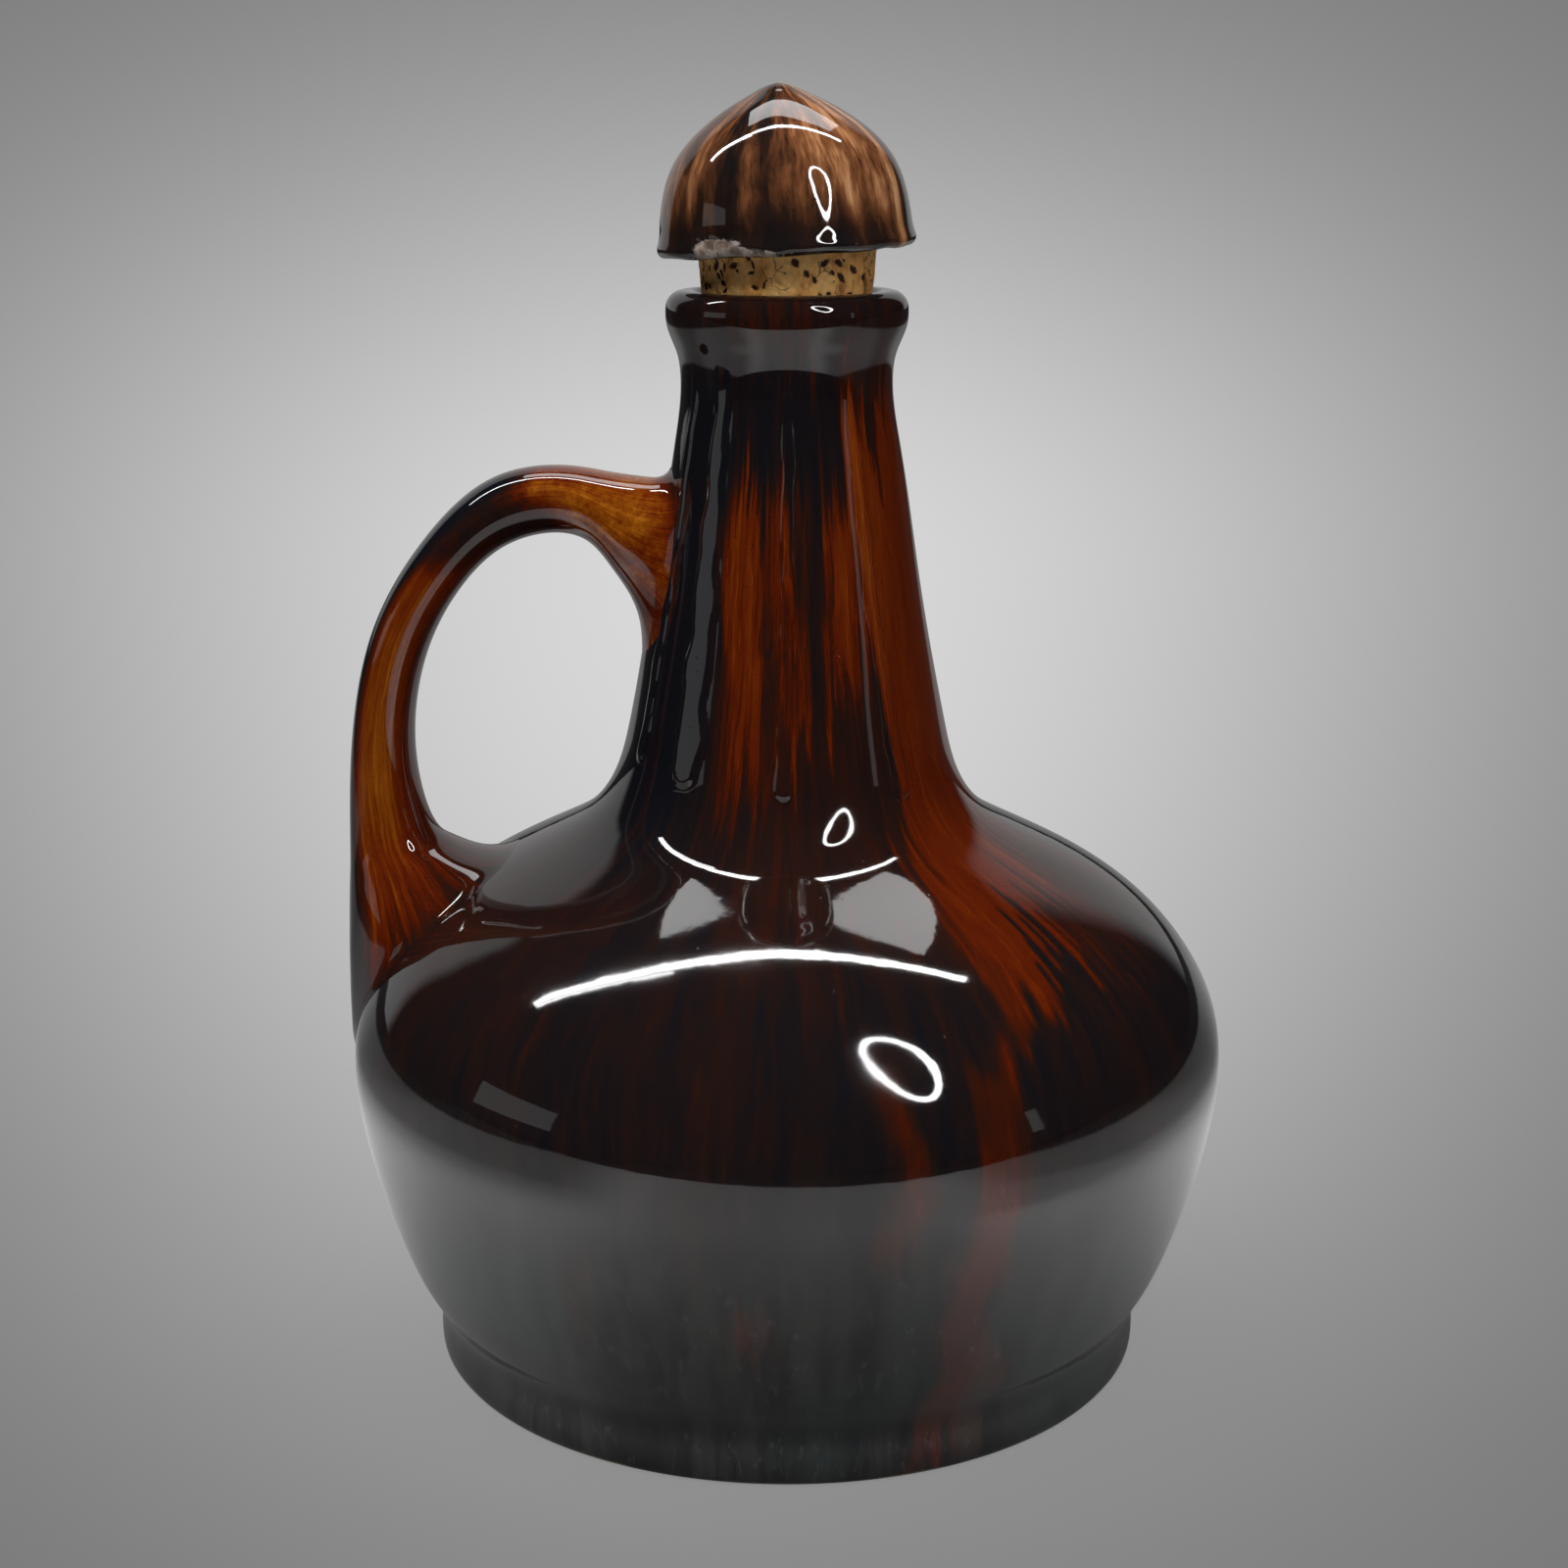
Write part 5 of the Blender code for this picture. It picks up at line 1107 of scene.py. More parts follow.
@dataclass
class JugBody:
    """The thrown body with its run glaze, and the bare clay under its foot."""

    section: JugSection
    steps: int = 420
    unevenness: float = 0.07 * MM
    unrolled_radius: float = 30.0 * MM
    ground_heat: float = 0.21
    ground_spread: float = 0.17
    inside_heat: float = 0.26
    inside_spread: float = 0.08
    finger_length: float = 4.0
    edge_sway: float = 0.9
    runs: tuple[Run, ...] = (
        # the lip, brown over the bore's red
        Run(0.36, 0.10, ((200, -180, 180), (214, -180, 180)), 1.0, 0.9),
        Run(0.46, 0.10, ((200, -26, 14), (213, -24, 12)), 8.0, 0.8),
        # the left of the neck, blue-black
        Run(0.06, 0.08, (
            (112, -84, -40), (124, -84, -36), (150, -80, -31), (176, -78, -29), (204, -75, -30),
        ), 3),
        # brown ground with amber and rust streaks in the middle of the neck
        Run(0.42, 0.30, ((118, -24, 18), (130, -25, 28), (150, -27, 38), (172, -30, 37), (188, -26, 32)), 4),
        Run(0.58, 0.30, ((127, -20, -10), (140, -21, -8), (158, -25, 0), (170, -29, 6), (182, -27, 2)), 3),
        Run(0.54, 0.30, (
            (132, 0, 18), (142, 1, 26), (152, 2, 36), (166, 12, 38), (180, 22, 40), (190, 26, 40),
        ), 3),
        Run(0.66, 0.16, ((136, -17, -11), (150, -17, -11), (172, -24, -14)), 2, 0.8),
        Run(0.67, 0.16, ((148, 21, 25), (162, 23, 30), (182, 25, 34)), 2, 0.8),
        Run(0.26, 0.22, ((126, -9, -2), (140, -8, -3), (154, -6, -4)), 2, 0.8),
        Run(0.26, 0.22, ((132, 8, 16), (150, 9, 15), (176, 9, 17)), 2, 0.8),
        # the dark top of the neck
        Run(0.15, 0.20, ((178, -14, 24), (188, -24, 29), (206, -32, 31)), 4, 0.95),
        # the dark foot of the neck
        Run(0.31, 0.12, ((96, -12, 32), (112, -11, 37), (124, -8, 37), (133, 6, 37), (143, 24, 35)), 3, 1.0),
        # the rust stripe: down the neck, over the shoulder and down the belly
        Run(0.62, 0.08, (
            (122, 39, 112), (138, 39, 114), (154, 38, 114), (170, 36, 112), (199, 30, 110),
        ), 1.4),
        Run(0.59, 0.10, (
            (91, 29, 37), (96, 30, 41), (100, 31, 50), (105, 32, 64), (112, 37, 76), (124, 40, 112),
        ), 2.0),
        Run(0.56, 0.14, ((83, 30, 33), (88, 29, 36), (97, 29, 41)), 1.6),
        Run(0.56, 0.14, ((2, 17, 31), (16, 19, 30), (34, 21, 27), (52, 20, 26), (66, 20, 28)), 1.6, 0.95),
        Run(0.47, 0.12, ((64, 20, 28), (74, 24, 30), (84, 29, 32)), 1.6, 0.9),
        # the fan of red streaks over the right shoulder
        Run(0.40, 0.20, ((90, 52, 64), (97, 50, 84), (106, 58, 96), (114, 68, 110)), 5, 0.75),
        # an olive-dark lane at the top of the rust, and bright orange to its left
        Run(0.70, 0.12, ((144, 37, 43), (160, 35, 46), (180, 33, 47), (197, 29, 36)), 1.4, 0.9),
        Run(0.27, 0.14, ((182, 49, 50), (190, 45, 53), (201, 39, 56)), 1.6, 0.9),
        # brown and rust around the back
        Run(0.46, 0.24, ((100, 122, 156), (130, 126, 160), (170, 128, 158), (206, 130, 156)), 4, 0.9),
        Run(0.52, 0.20, ((4, 128, 142), (60, 126, 144), (92, 122, 150), (106, 118, 156)), 4, 0.85),
        Run(0.42, 0.24, ((104, -160, -128), (140, -162, -126), (200, -158, -130)), 5, 0.9),
        Run(0.40, 0.16, ((8, -150, -138), (60, -152, -136), (104, -160, -130)), 4, 0.8),
        # small warm marks on the belly's front
        Run(0.60, 0.20, ((33, -8, -4), (46, -6, -2)), 3, 0.9),
        Run(0.48, 0.18, ((44, 10, 14), (84, 11, 17)), 2, 0.8),
        Run(0.42, 0.14, ((32, -29, -23), (50, -29, -25)), 2, 0.8),
        # the left shoulder, brown behind the handle's foot
        Run(0.30, 0.10, ((84, -100, -40), (112, -104, -36)), 10, 0.8),
    )
    drips: tuple[Drip, ...] = (
        Drip(((122.5, -1.6, 3.4), (130, -1.0, 2.4), (160, 0.2, 2.2), (200, 0.4, 2.0)), 0.5 * MM),
        Drip((
            (123.5, -37.0, 6.4), (140, -37, 5.6), (162, -36, 5.0), (182, -36, 3.4), (206, -36, 2.4),
        ), 0.5 * MM),
        Drip(((121.0, 40.5, 3.6), (136, 40.5, 2.6), (160, 38.0, 2.2), (200, 36.5, 1.8))),
        Drip(((126.0, -62.0, 3.0), (150, -61.0, 2.4), (204, -58.0, 2.0)), 0.35 * MM),
        Drip(((131.0, 116.0, 3.8), (160, 115.0, 3.0), (204, 115.0, 2.4))),
        Drip(((120.0, 139.0, 4.0), (150, 138.0, 3.0), (200, 138.0, 2.4))),
        Drip(((134.0, -139.0, 3.6), (170, -140.0, 2.8), (202, -140.0, 2.4))),
        Drip(((126.0, 172.0, 3.2), (170, 172.0, 2.6), (200, 172.0, 2.2)), 0.35 * MM),
    )

    def tones(self, angle: np.ndarray, height: np.ndarray) -> tuple[np.ndarray, np.ndarray]:
        """The glaze's heat and spread at each point of the outside.

        Args:
            angle: Azimuth, in degrees.
            height: Height, in millimetres.

        Returns:
            The heat and the spread.
        """
        turn, up = np.radians(angle), height * MM
        fingers = grown_noise(turn, up, 51, 150, 5.0) + 0.6 * grown_noise(turn, up, 52, 60, 3.0)
        sway = grown_noise(turn, up, 53, 24, 26.0) + 0.7 * grown_noise(turn, up, 54, 90, 60.0)
        height = height + fingers * self.finger_length
        angle = angle + sway * self.edge_sway
        heat = np.full(np.broadcast(angle, height).shape, self.ground_heat)
        spread = np.full(heat.shape, self.ground_spread)
        for run in self.runs:
            cover = run.cover(angle, height)
            heat = heat + (run.heat - heat) * cover
            spread = spread + (run.spread - spread) * cover
        return heat, spread

    def make(self, glaze: bpy.types.Material) -> bpy.types.Object:
        """Builds the body.

        Args:
            glaze: The run glaze.

        Returns:
            The piece.
        """
        under, outside = self.section.underside(), self.section.outside()
        section = np.vstack([under, outside, self.section.inside(outside)])
        sheet = turned(section, self.steps)
        ring = section[1:-1]
        first, last = len(under) - 1, len(under) - 1 + len(outside)
        angle = whole_turn(self.steps, -math.pi)[None, :]
        degrees = np.degrees(angle)
        travelled = lengths_along(ring)[:, None]
        radius, height = ring[first:last, 0][:, None], ring[first:last, 1][:, None]
        along = np.gradient(ring[first:last], axis=0)
        along /= np.linalg.norm(along, axis=1)[:, None]
        out_r, out_z = along[:, 1][:, None], -along[:, 0][:, None]
        rise = grown_noise(angle, travelled[first:last], 7, 5, 24.0) * self.unevenness
        dimpled = np.exp(-(((degrees + 62) / 26) ** 2) - ((height / MM - 92) / 10) ** 2)
        rise = rise + grown_noise(angle, travelled[first:last], 8, 26, 90.0) * dimpled * 0.07 * MM
        rise = rise * eased(height, 4 * MM, 14 * MM) * (1 - eased(height, 205 * MM, 214 * MM))
        rise = np.minimum(rise, (self.section.belly_radius - radius) * 0.9)
        for drip in self.drips:
            rise = rise + drip.rise(degrees, height / MM, radius)
        push_out(sheet.rows[first:last], angle, rise * out_r)
        sheet.rows[first:last, :, 2] += rise * out_z
        sheet.rows[..., 2] = np.maximum(sheet.rows[..., 2], 0.0)
        sheet.marks["flow"] = unrolled(self.unrolled_radius, angle, travelled)
        sheet.marks["tones"] = self.marks(degrees, ring, first, last)
        piece = placed("glazed_body", sheet.mesh("glazed_body"), glaze, Body.JUG)
        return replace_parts(piece, "jug_body")

    def marks(self, degrees: np.ndarray, ring: np.ndarray, first: int, last: int) -> np.ndarray:
        """Heat, spread and bare clay at each point.

        Args:
            degrees: Azimuths.
            ring: The section's rows.
            first: The outside's first row.
            last: The row after the outside's last.

        Returns:
            Three numbers for each point.
        """
        marks = np.zeros((len(ring), degrees.shape[1], 3))
        marks[..., 0], marks[..., 1] = self.inside_heat, self.inside_spread
        heat, spread = self.tones(degrees, ring[first:last, 1][:, None] / MM)
        marks[first:last, :, 0], marks[first:last, :, 1] = heat, spread
        marks[:first, :, 2] = 1.0
        edge = grown_noise(np.radians(degrees), np.zeros((1, 1)), 3, 23, 0.0) * 0.25 * MM
        foot_edge = slice(first, first + 12)
        height = ring[foot_edge, 1][:, None]
        marks[foot_edge, :, 2] = 1 - eased(height + edge, 0.15 * MM, 0.6 * MM)
        return marks


@dataclass(frozen=True)
class JugSurface:
    """The jug's outside, as rows of radius and height, which the handle's ends are fitted to."""

    rows: np.ndarray

    def radius(self, height: np.ndarray | float) -> np.ndarray:
        """The jug's radius at a height."""
        return np.interp(height, self.rows[:, 1], self.rows[:, 0])

    def outside_by(self, points: np.ndarray) -> np.ndarray:
        """How far points stand outside the jug, along the radius. It is negative inside."""
        return np.hypot(points[..., 0], points[..., 1]) - self.radius(points[..., 2])

    def onto(self, point: np.ndarray, sink: float = 0.0) -> np.ndarray:
        """A point moved along its radius onto the jug, or that far under its surface."""
        scale = (self.radius(point[2]) - sink) / max(math.hypot(point[0], point[1]), 1e-9)
        return np.array([point[0] * scale, point[1] * scale, point[2]])

    def normal(self, point: np.ndarray, step: float = 0.5 * MM) -> np.ndarray:
        """The jug's outward direction at a point on it.

        Args:
            point: The point.
            step: How far above and below it the slope is taken.

        Returns:
            The direction, of length 1.
        """
        slope = (self.radius(point[2] + step) - self.radius(point[2] - step)) / (2 * step)
        flat = np.array([point[0], point[1], 0.0]) / max(math.hypot(point[0], point[1]), 1e-9)
        direction = flat - np.array([0.0, 0.0, slope])
        return direction / np.linalg.norm(direction)


@dataclass
class StrapHandle:
    """The pulled strap handle, luted to the neck and to the shoulder."""

    section: JugSection
    foot_height: float = 60.0 * MM
    top_height: float = 182.0 * MM
    reach: float = 89.0 * MM
    width: float = 17.0 * MM
    outer_power: float = 2.5
    inner_power: float = 2.1
    edges: tuple = (
        (0.247, 0.978, 0.247, 0.738, 1.30), (0.371, 0.986, 0.352, 0.799, 1.24),
        (0.494, 0.999, 0.455, 0.884, 1.06), (0.657, 0.978, 0.601, 0.879, 1.00),
        (0.818, 0.872, 0.722, 0.808, 1.00), (0.931, 0.730, 0.809, 0.697, 1.00),
        (0.987, 0.545, 0.847, 0.537, 1.02), (0.999, 0.402, 0.815, 0.410, 1.16),
        (1.001, 0.344, 0.759, 0.371, 1.42), (1.005, 0.279, 0.686, 0.328, 1.90),
        (1.010, 0.180, 0.641, 0.230, 2.20), (1.015, 0.098, 0.629, 0.131, 2.10),
        (0.989, 0.000, 0.629, 0.016, 1.50),
    )
    furthest: float = 90.25 * MM
    around: int = 72
    stations: int = 260
    rings: int = 200
    fillet_rings: int = 12
    dip: float = 0.5 * MM

    def raw_rings(self) -> np.ndarray:
        """Cross-sections from inside the neck to inside the belly, before they are fitted to the jug.

        Returns:
            The rings' points, by station and angle.
        """
        edges = spline_through(np.array(self.edges), self.stations)
        turn = whole_turn(self.around)
        rise = self.top_height - self.foot_height
        outer, inner = (
            np.stack([-edges[:, k] * self.reach, self.foot_height + edges[:, k + 1] * rise], axis=-1)
            for k in (0, 2)
        )
        outer[:, 0] = np.maximum(outer[:, 0], -self.furthest)
        middle, half = (outer + inner) / 2, (outer - inner) / 2
        power = np.where(np.cos(turn) > 0, 2 / self.outer_power, 2 / self.inner_power)
        across = np.sign(np.cos(turn)) * np.abs(np.cos(turn)) ** power
        aside = np.sign(np.sin(turn)) * np.abs(np.sin(turn)) ** (2 / 2.4)
        wide = edges[:, 4][:, None] * self.width / 2
        flat = middle[:, None, :] + half[:, None, :] * across[None, :, None]
        return np.stack([flat[..., 0], -aside[None, :] * wide, flat[..., 1]], axis=-1)

    def fitted(self, rings: np.ndarray, surface: JugSurface) -> np.ndarray:
        """The handle with its ends spread into fillets on the jug.

        Args:
            rings: The raw rings.
            surface: The jug's outside.

        Returns:
            Rings of the same number of points, which start and end just under the surface.
        """
        free = [np.nonzero(column)[0] for column in (surface.outside_by(rings) > 0).T]
        top_hits = [self.crossing(rings[:, k], int(free[k][0]) - 1, surface) for k in range(self.around)]
        foot_hits = [self.crossing(rings[:, k], int(free[k][-1]), surface) for k in range(self.around)]
        top_ways, foot_ways = self.spreading(top_hits, surface), self.spreading(foot_hits, surface)
        columns = []
        for k in range(self.around):
            line = np.vstack([top_hits[k], rings[free[k][0] : free[k][-1] + 1, k], foot_hits[k]])
            turn = math.tau * k / self.around
            under = (1 - math.cos(turn)) / 2
            lead, spread = (3.6 + 5.4 * under) * MM, (3.4 + 13.0 * under**3) * MM
            line = self.landed(line, top_ways[k], lead, spread, surface)
            side = abs(math.sin(turn))
            lead, spread = (5.5 + 1.5 * side + 4.0 * under**2) * MM, (3.0 + 7.0 * under**3) * MM
            line = self.landed(line[::-1], foot_ways[k], lead, spread, surface)[::-1]
            columns.append(self.spaced(line, self.rings))
        made = np.stack(columns, axis=1)
        calm = made.copy()
        for _ in range(8):
            calm = (np.roll(calm, 1, axis=1) + 2 * calm + np.roll(calm, -1, axis=1)) / 4
        share = np.linspace(0.0, 1.0, self.rings)[:, None, None]
        ends = np.maximum(1 - eased(share, 0.03, 0.10), eased(share, 0.82, 0.90))
        return made + (calm - made) * ends

    def crossing(self, line: np.ndarray, before: int, surface: JugSurface) -> np.ndarray:
        """Where one of the handle's long lines meets the jug.

        Args:
            line: The line's points.
            before: The point before the meeting.
            surface: The jug's outside.

        Returns:
            The meeting point.
        """
        before = min(max(before, 0), len(line) - 2)
        start, end = line[before], line[before + 1]
        out_start, out_end = surface.outside_by(start), surface.outside_by(end)
        share = float(np.clip(out_start / (out_start - out_end + 1e-12), 0.0, 1.0))
        return surface.onto(start + (end - start) * share)

    def spreading(self, hits: list[np.ndarray], surface: JugSurface) -> np.ndarray:
        """The way in which each long line spreads out over the jug, away from the middle of the handle's end.

        Args:
            hits: Where the lines meet the jug.
            surface: The jug's outside.

        Returns:
            A direction for each line, changing evenly round the handle.
        """
        ways, middle = [], np.mean(hits, axis=0)
        for hit in hits:
            normal, out = surface.normal(hit), hit - middle
            ways.append(unit(out - normal * float(out @ normal)))
        even = np.array(ways)
        for _ in range(4):
            even = (np.roll(even, 1, axis=0) + 2 * even + np.roll(even, -1, axis=0)) / 4
        return even / np.linalg.norm(even, axis=1)[:, None]

    def landed(
        self, line: np.ndarray, way: np.ndarray, lead: float, spread: float, surface: JugSurface
    ) -> np.ndarray:
        """A long line whose first end curves out onto the jug.

        Args:
            line: The line's points, from its meeting with the jug.
            way: The way in which it spreads out over the jug.
            lead: How far before the meeting the curve starts.
            spread: How far from the meeting it lands.
            surface: The jug's outside.

        Returns:
            The line, which starts just under the jug's surface.
        """
        travelled = lengths_along(line)
        start, beyond = (
            np.array([np.interp(at, travelled, line[:, axis]) for axis in range(3)])
            for at in (lead, lead + 1.5 * MM)
        )
        keep = int(np.searchsorted(travelled, lead + 0.2 * MM))
        leaving = unit(start - beyond)
        landing = surface.onto(line[0] + way * spread)
        arrival = unit(landing - line[0])
        gap = float(np.linalg.norm(landing - start))
        first, second = start + leaving * gap * 0.45, landing - arrival * gap * 0.40
        shares = np.linspace(1.0, 0.0, self.fillet_rings, endpoint=False)[:, None]
        curve = (
            start * (1 - shares) ** 3
            + first * 3 * shares * (1 - shares) ** 2
            + second * 3 * shares**2 * (1 - shares)
            + landing * shares**3
        )
        tail = [surface.onto(landing + arrival * 1.6 * MM, self.dip)]
        return np.vstack([tail, curve, start, line[keep:]])

    def spaced(self, line: np.ndarray, count: int) -> np.ndarray:
        """A line with a given number of evenly spaced points.

        Args:
            line: The line's own points.
            count: How many points it gets.

        Returns:
            The new points.
        """
        travelled = lengths_along(line)
        wanted = np.linspace(0.0, travelled[-1], count)
        return np.stack([np.interp(wanted, travelled, line[:, axis]) for axis in range(3)], axis=-1)

    def tones(self, rings: np.ndarray) -> np.ndarray:
        """Heat and spread on the handle: honey on its sides, dark along its back and where it bends.

        Args:
            rings: The fitted rings.

        Returns:
            Three numbers for each point.
        """
        share = np.linspace(0.0, 1.0, len(rings))[:, None]
        turn = whole_turn(self.around)[None, :]
        back = eased(np.cos(turn), 0.35, 0.92)
        belly_side = eased(-np.cos(turn), 0.30, 0.95)
        heat = 0.75 + 0.05 * np.sin(share * 9.0 + 0.6) - 0.22 * eased(share, 0.70, 0.95)
        heat = heat * np.ones_like(turn)
        patch = eased(share, 0.20, 0.27) * (1 - eased(share, 0.37, 0.44))
        heat = heat - patch * (0.42 - 0.24 * belly_side)
        heat = heat - back * eased(share, 0.12, 0.24) * 0.50 * (1 - 0.5 * eased(share, 0.85, 1.0))
        heat = heat - belly_side * 0.20
        root = 1 - eased(share, 0.0, 0.05)
        heat = heat + (0.20 - heat) * root
        foot = eased(share, 0.93, 1.0)
        heat = heat + (0.26 - heat) * foot
        spread = 0.15 - 0.06 * root + 0.10 * eased(share, 0.72, 0.92)
        spread = spread * np.ones_like(turn)
        return np.stack([heat, spread, np.zeros_like(heat)], axis=-1)

    def make(self, glaze: bpy.types.Material) -> bpy.types.Object:
        """Builds the handle.

        Args:
            glaze: The run glaze.

        Returns:
            The piece.
        """
        outside = self.section.outside()
        surface = JugSurface(outside[5 : int(np.argmax(outside[:, 1]))])
        rings = self.fitted(self.raw_rings(), surface)
        top = rings[0].mean(axis=0) + np.array([2.0 * MM, 0.0, 0.0])
        foot = rings[-1].mean(axis=0) + np.array([2.5 * MM, 0.0, 0.0])
        turn = whole_turn(self.around)[None, :]
        travelled = lengths_along(rings.mean(axis=1))[:, None]
        wide = np.full((len(rings), self.around), 12.0 * MM)
        along = np.broadcast_to(travelled, wide.shape)
        flow = np.stack([wide * np.cos(turn), wide * np.sin(turn), along], axis=-1)
        share = np.linspace(0.0, 1.0, len(rings))
        ends = eased(share, 0.0, 0.05) * (1 - 0.8 * eased(share, 0.30, 0.48)) * (1 - eased(share, 0.9, 1.0))
        mottle = np.broadcast_to(ends[:, None, None], rings.shape)
        marks = {"flow": flow, "tones": self.tones(rings), "mottle": mottle}
        sheet = Sheet(rings, start_point=top, end_point=foot, marks=marks)
        mesh = sheet.mesh("strap_handle")
        mesh.flip_normals()
        piece = placed("strap_handle", mesh, glaze, Body.JUG)
        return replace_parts(piece, "handle")


# The stopper


@dataclass(frozen=True)
class Column:
    """A light streak on the cap: its azimuth, half width, and how light it is."""

    angle: float
    half: float
    heat: float


@dataclass
class Stopper:
    """The cork, and the pointed glazed cap that is glued on it a little askew."""

    seat_height: float = 223.4 * MM
    rim: float = 25.1 * MM
    height: float = 31.4 * MM
    tilt: float = math.radians(-3.2)
    hollow: float = 14.5 * MM
    socket: float = 18.1 * MM
    socket_depth: float = 4.9 * MM
    outline: tuple = (
        (0.985, 0.10), (0.969, 0.18), (0.957, 0.26), (0.938, 0.35), (0.885, 0.49),
        (0.76, 0.645), (0.565, 0.78), (0.36, 0.881), (0.185, 0.951), (0.09, 0.985),
    )
    columns: tuple[Column, ...] = (
        Column(-66, 9, 0.52), Column(-49, 5, 0.64), Column(-38, 5, 0.46), Column(-26, 8, 0.10),
        Column(-17, 4, 0.44), Column(-9, 5, 0.16), Column(-1, 5, 0.50), Column(9, 5, 0.48),
        Column(20, 5, 0.60), Column(34, 7, 0.72), Column(50, 7, 0.70), Column(63, 5, 0.92),
        Column(88, 8, 0.42), Column(112, 10, 0.56), Column(140, 9, 0.40), Column(168, 10, 0.58),
        Column(-160, 8, 0.38), Column(-134, 11, 0.54), Column(-104, 9, 0.40),
    )
    unrolled_radius: float = 20.0 * MM
    steps: int = 300
    cork_top: float = 228.0 * MM
    cork_length: float = 36.0 * MM
    cork_radius: float = 17.7 * MM
    cork_end: float = 14.75 * MM
    cork_steps: int = 420
    pores: int = 400

    def cap_section(self) -> tuple[np.ndarray, int]:
        """The cap's section in its own frame, from the hollow's top, round the rim, to the tip.

        Returns:
            Rows of radius and height, and the row where the outside starts.
        """
        top = self.height - 10.0 * MM
        under = [
            (0.0, top), (self.hollow * 0.5, top - 1.7 * MM), (self.hollow, top / 2),
            (self.hollow, self.socket_depth), (self.socket, self.socket_depth),
            (self.socket, 0.3 * MM), (self.rim - 1.6 * MM, 0.0),
        ]
        inside = resampled(np.array(softened(under, 0.8 * MM)), 3.0 * MM)
        rim = arc((self.rim - 1.5 * MM, 1.5 * MM), 1.5 * MM, -90, 0, 5)
        dome = [(self.rim * r, self.height * z) for r, z in self.outline]
        tip = [(0.35 * MM, self.height * 0.9985), (0.0, self.height)]
        outside = spline_through(np.array([*rim, *dome, *tip]), 190)
        outside[:, 0] = np.maximum(outside[:, 0], 0.0)
        return np.vstack([inside, outside]), len(inside) - 1

    def make_cap(self, glaze: bpy.types.Material) -> bpy.types.Object:
        """Builds the cap.

        Args:
            glaze: The cap's glaze.

        Returns:
            The piece.
        """
        section, first = self.cap_section()
        sheet = turned(section, self.steps)
        ring = section[1:-1]
        angle = whole_turn(self.steps, -math.pi)[None, :]
        degrees = np.degrees(angle)
        travelled = lengths_along(ring)[:, None]
        height = ring[:, 1][:, None] / self.height
        outside = np.zeros((len(ring), 1))
        outside[first:] = 1.0
        swell = grown_noise(angle, travelled, 21, 6, 40.0) * 0.10 * MM
        swell = swell - 0.55 * MM * bell(degrees, -30, 26) * (1 - eased(height, 0.02, 0.22))
        chips = grown_noise(angle, travelled, 5, 34, 260.0) * 0.16 * MM
        scar = self.scar(degrees, height)
        swell = (swell + chips * scar - 0.10 * MM) * outside * eased(ring[:, 0][:, None], 0.5 * MM, 6 * MM)
        push_out(sheet.rows, angle, swell)
        hang = grown_noise(angle, np.zeros((1, 1)), 11, 9, 0.0) * 0.12 * MM
        hang = hang - 0.5 * MM * bell(degrees, 62, 7)
        rim_share = eased(ring[:, 0][:, None], 0.9 * self.socket, self.rim)
        sheet.rows[..., 2] += np.maximum(hang, -0.2 * MM) * (1 - eased(height, 0.0, 0.2)) * rim_share
        sheet.rows = self.tilted(sheet.rows)
        sheet.start_point, sheet.end_point = self.tilted(sheet.start_point), self.tilted(sheet.end_point)
        sheet.marks["flow"] = unrolled(self.unrolled_radius, angle, travelled)
        heat = (0.13 + 0.23 * eased(height, 0.10, 0.44)) * np.ones_like(angle)
        for column in self.columns:
            near = bell((degrees - column.angle + 180) % 360 - 180, 0.0, column.half)
            lower = eased(height, 0.06, 0.36) if column.heat < 0.8 else eased(height, -0.05, 0.03)
            heat = heat + (column.heat - heat) * near * lower
        heat = heat * (1 - 0.18 * eased(height, 0.86, 0.99)) * outside
        spread = (0.26 + 0.20 * eased(height, 0.1, 0.4)) * np.ones_like(angle) * outside
        sheet.marks["tones"] = np.stack([heat, spread, scar * outside], axis=-1)
        piece = placed("stopper_cap_glazed", sheet.mesh("stopper_cap_glazed"), glaze, Body.STOPPER)
        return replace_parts(piece, "stopper_cap")

    def scar(self, degrees: np.ndarray, height: np.ndarray) -> np.ndarray:
        """Where the glaze has crawled off the rim and left it chalky.

        Args:
            degrees: Azimuths.
            height: Shares of the cap's height.

        Returns:
            The scar, from 0 to 1.
        """
        patch = bell(degrees, -34, 14) * (1 - eased(height, 0.07, 0.16))
        tail = bell(degrees, -12, 17) * (1 - eased(height, 0.02, 0.07)) * 0.62
        far = bell(degrees, 150, 9) * (1 - eased(height, 0.03, 0.10)) * 0.7
        return np.clip(patch + tail + far, 0.0, 1.0)

    def tilted(self, points: np.ndarray) -> np.ndarray:
        """Points of the cap's own frame on the leaning cap.

        Args:
            points: The points.

        Returns:
            The points in the jug's frame.
        """
        x, z = points[..., 0], points[..., 2]
        cosine, sine = math.cos(self.tilt), math.sin(self.tilt)
        height = self.seat_height - x * sine + z * cosine
        return np.stack([x * cosine + z * sine, points[..., 1], height], axis=-1)

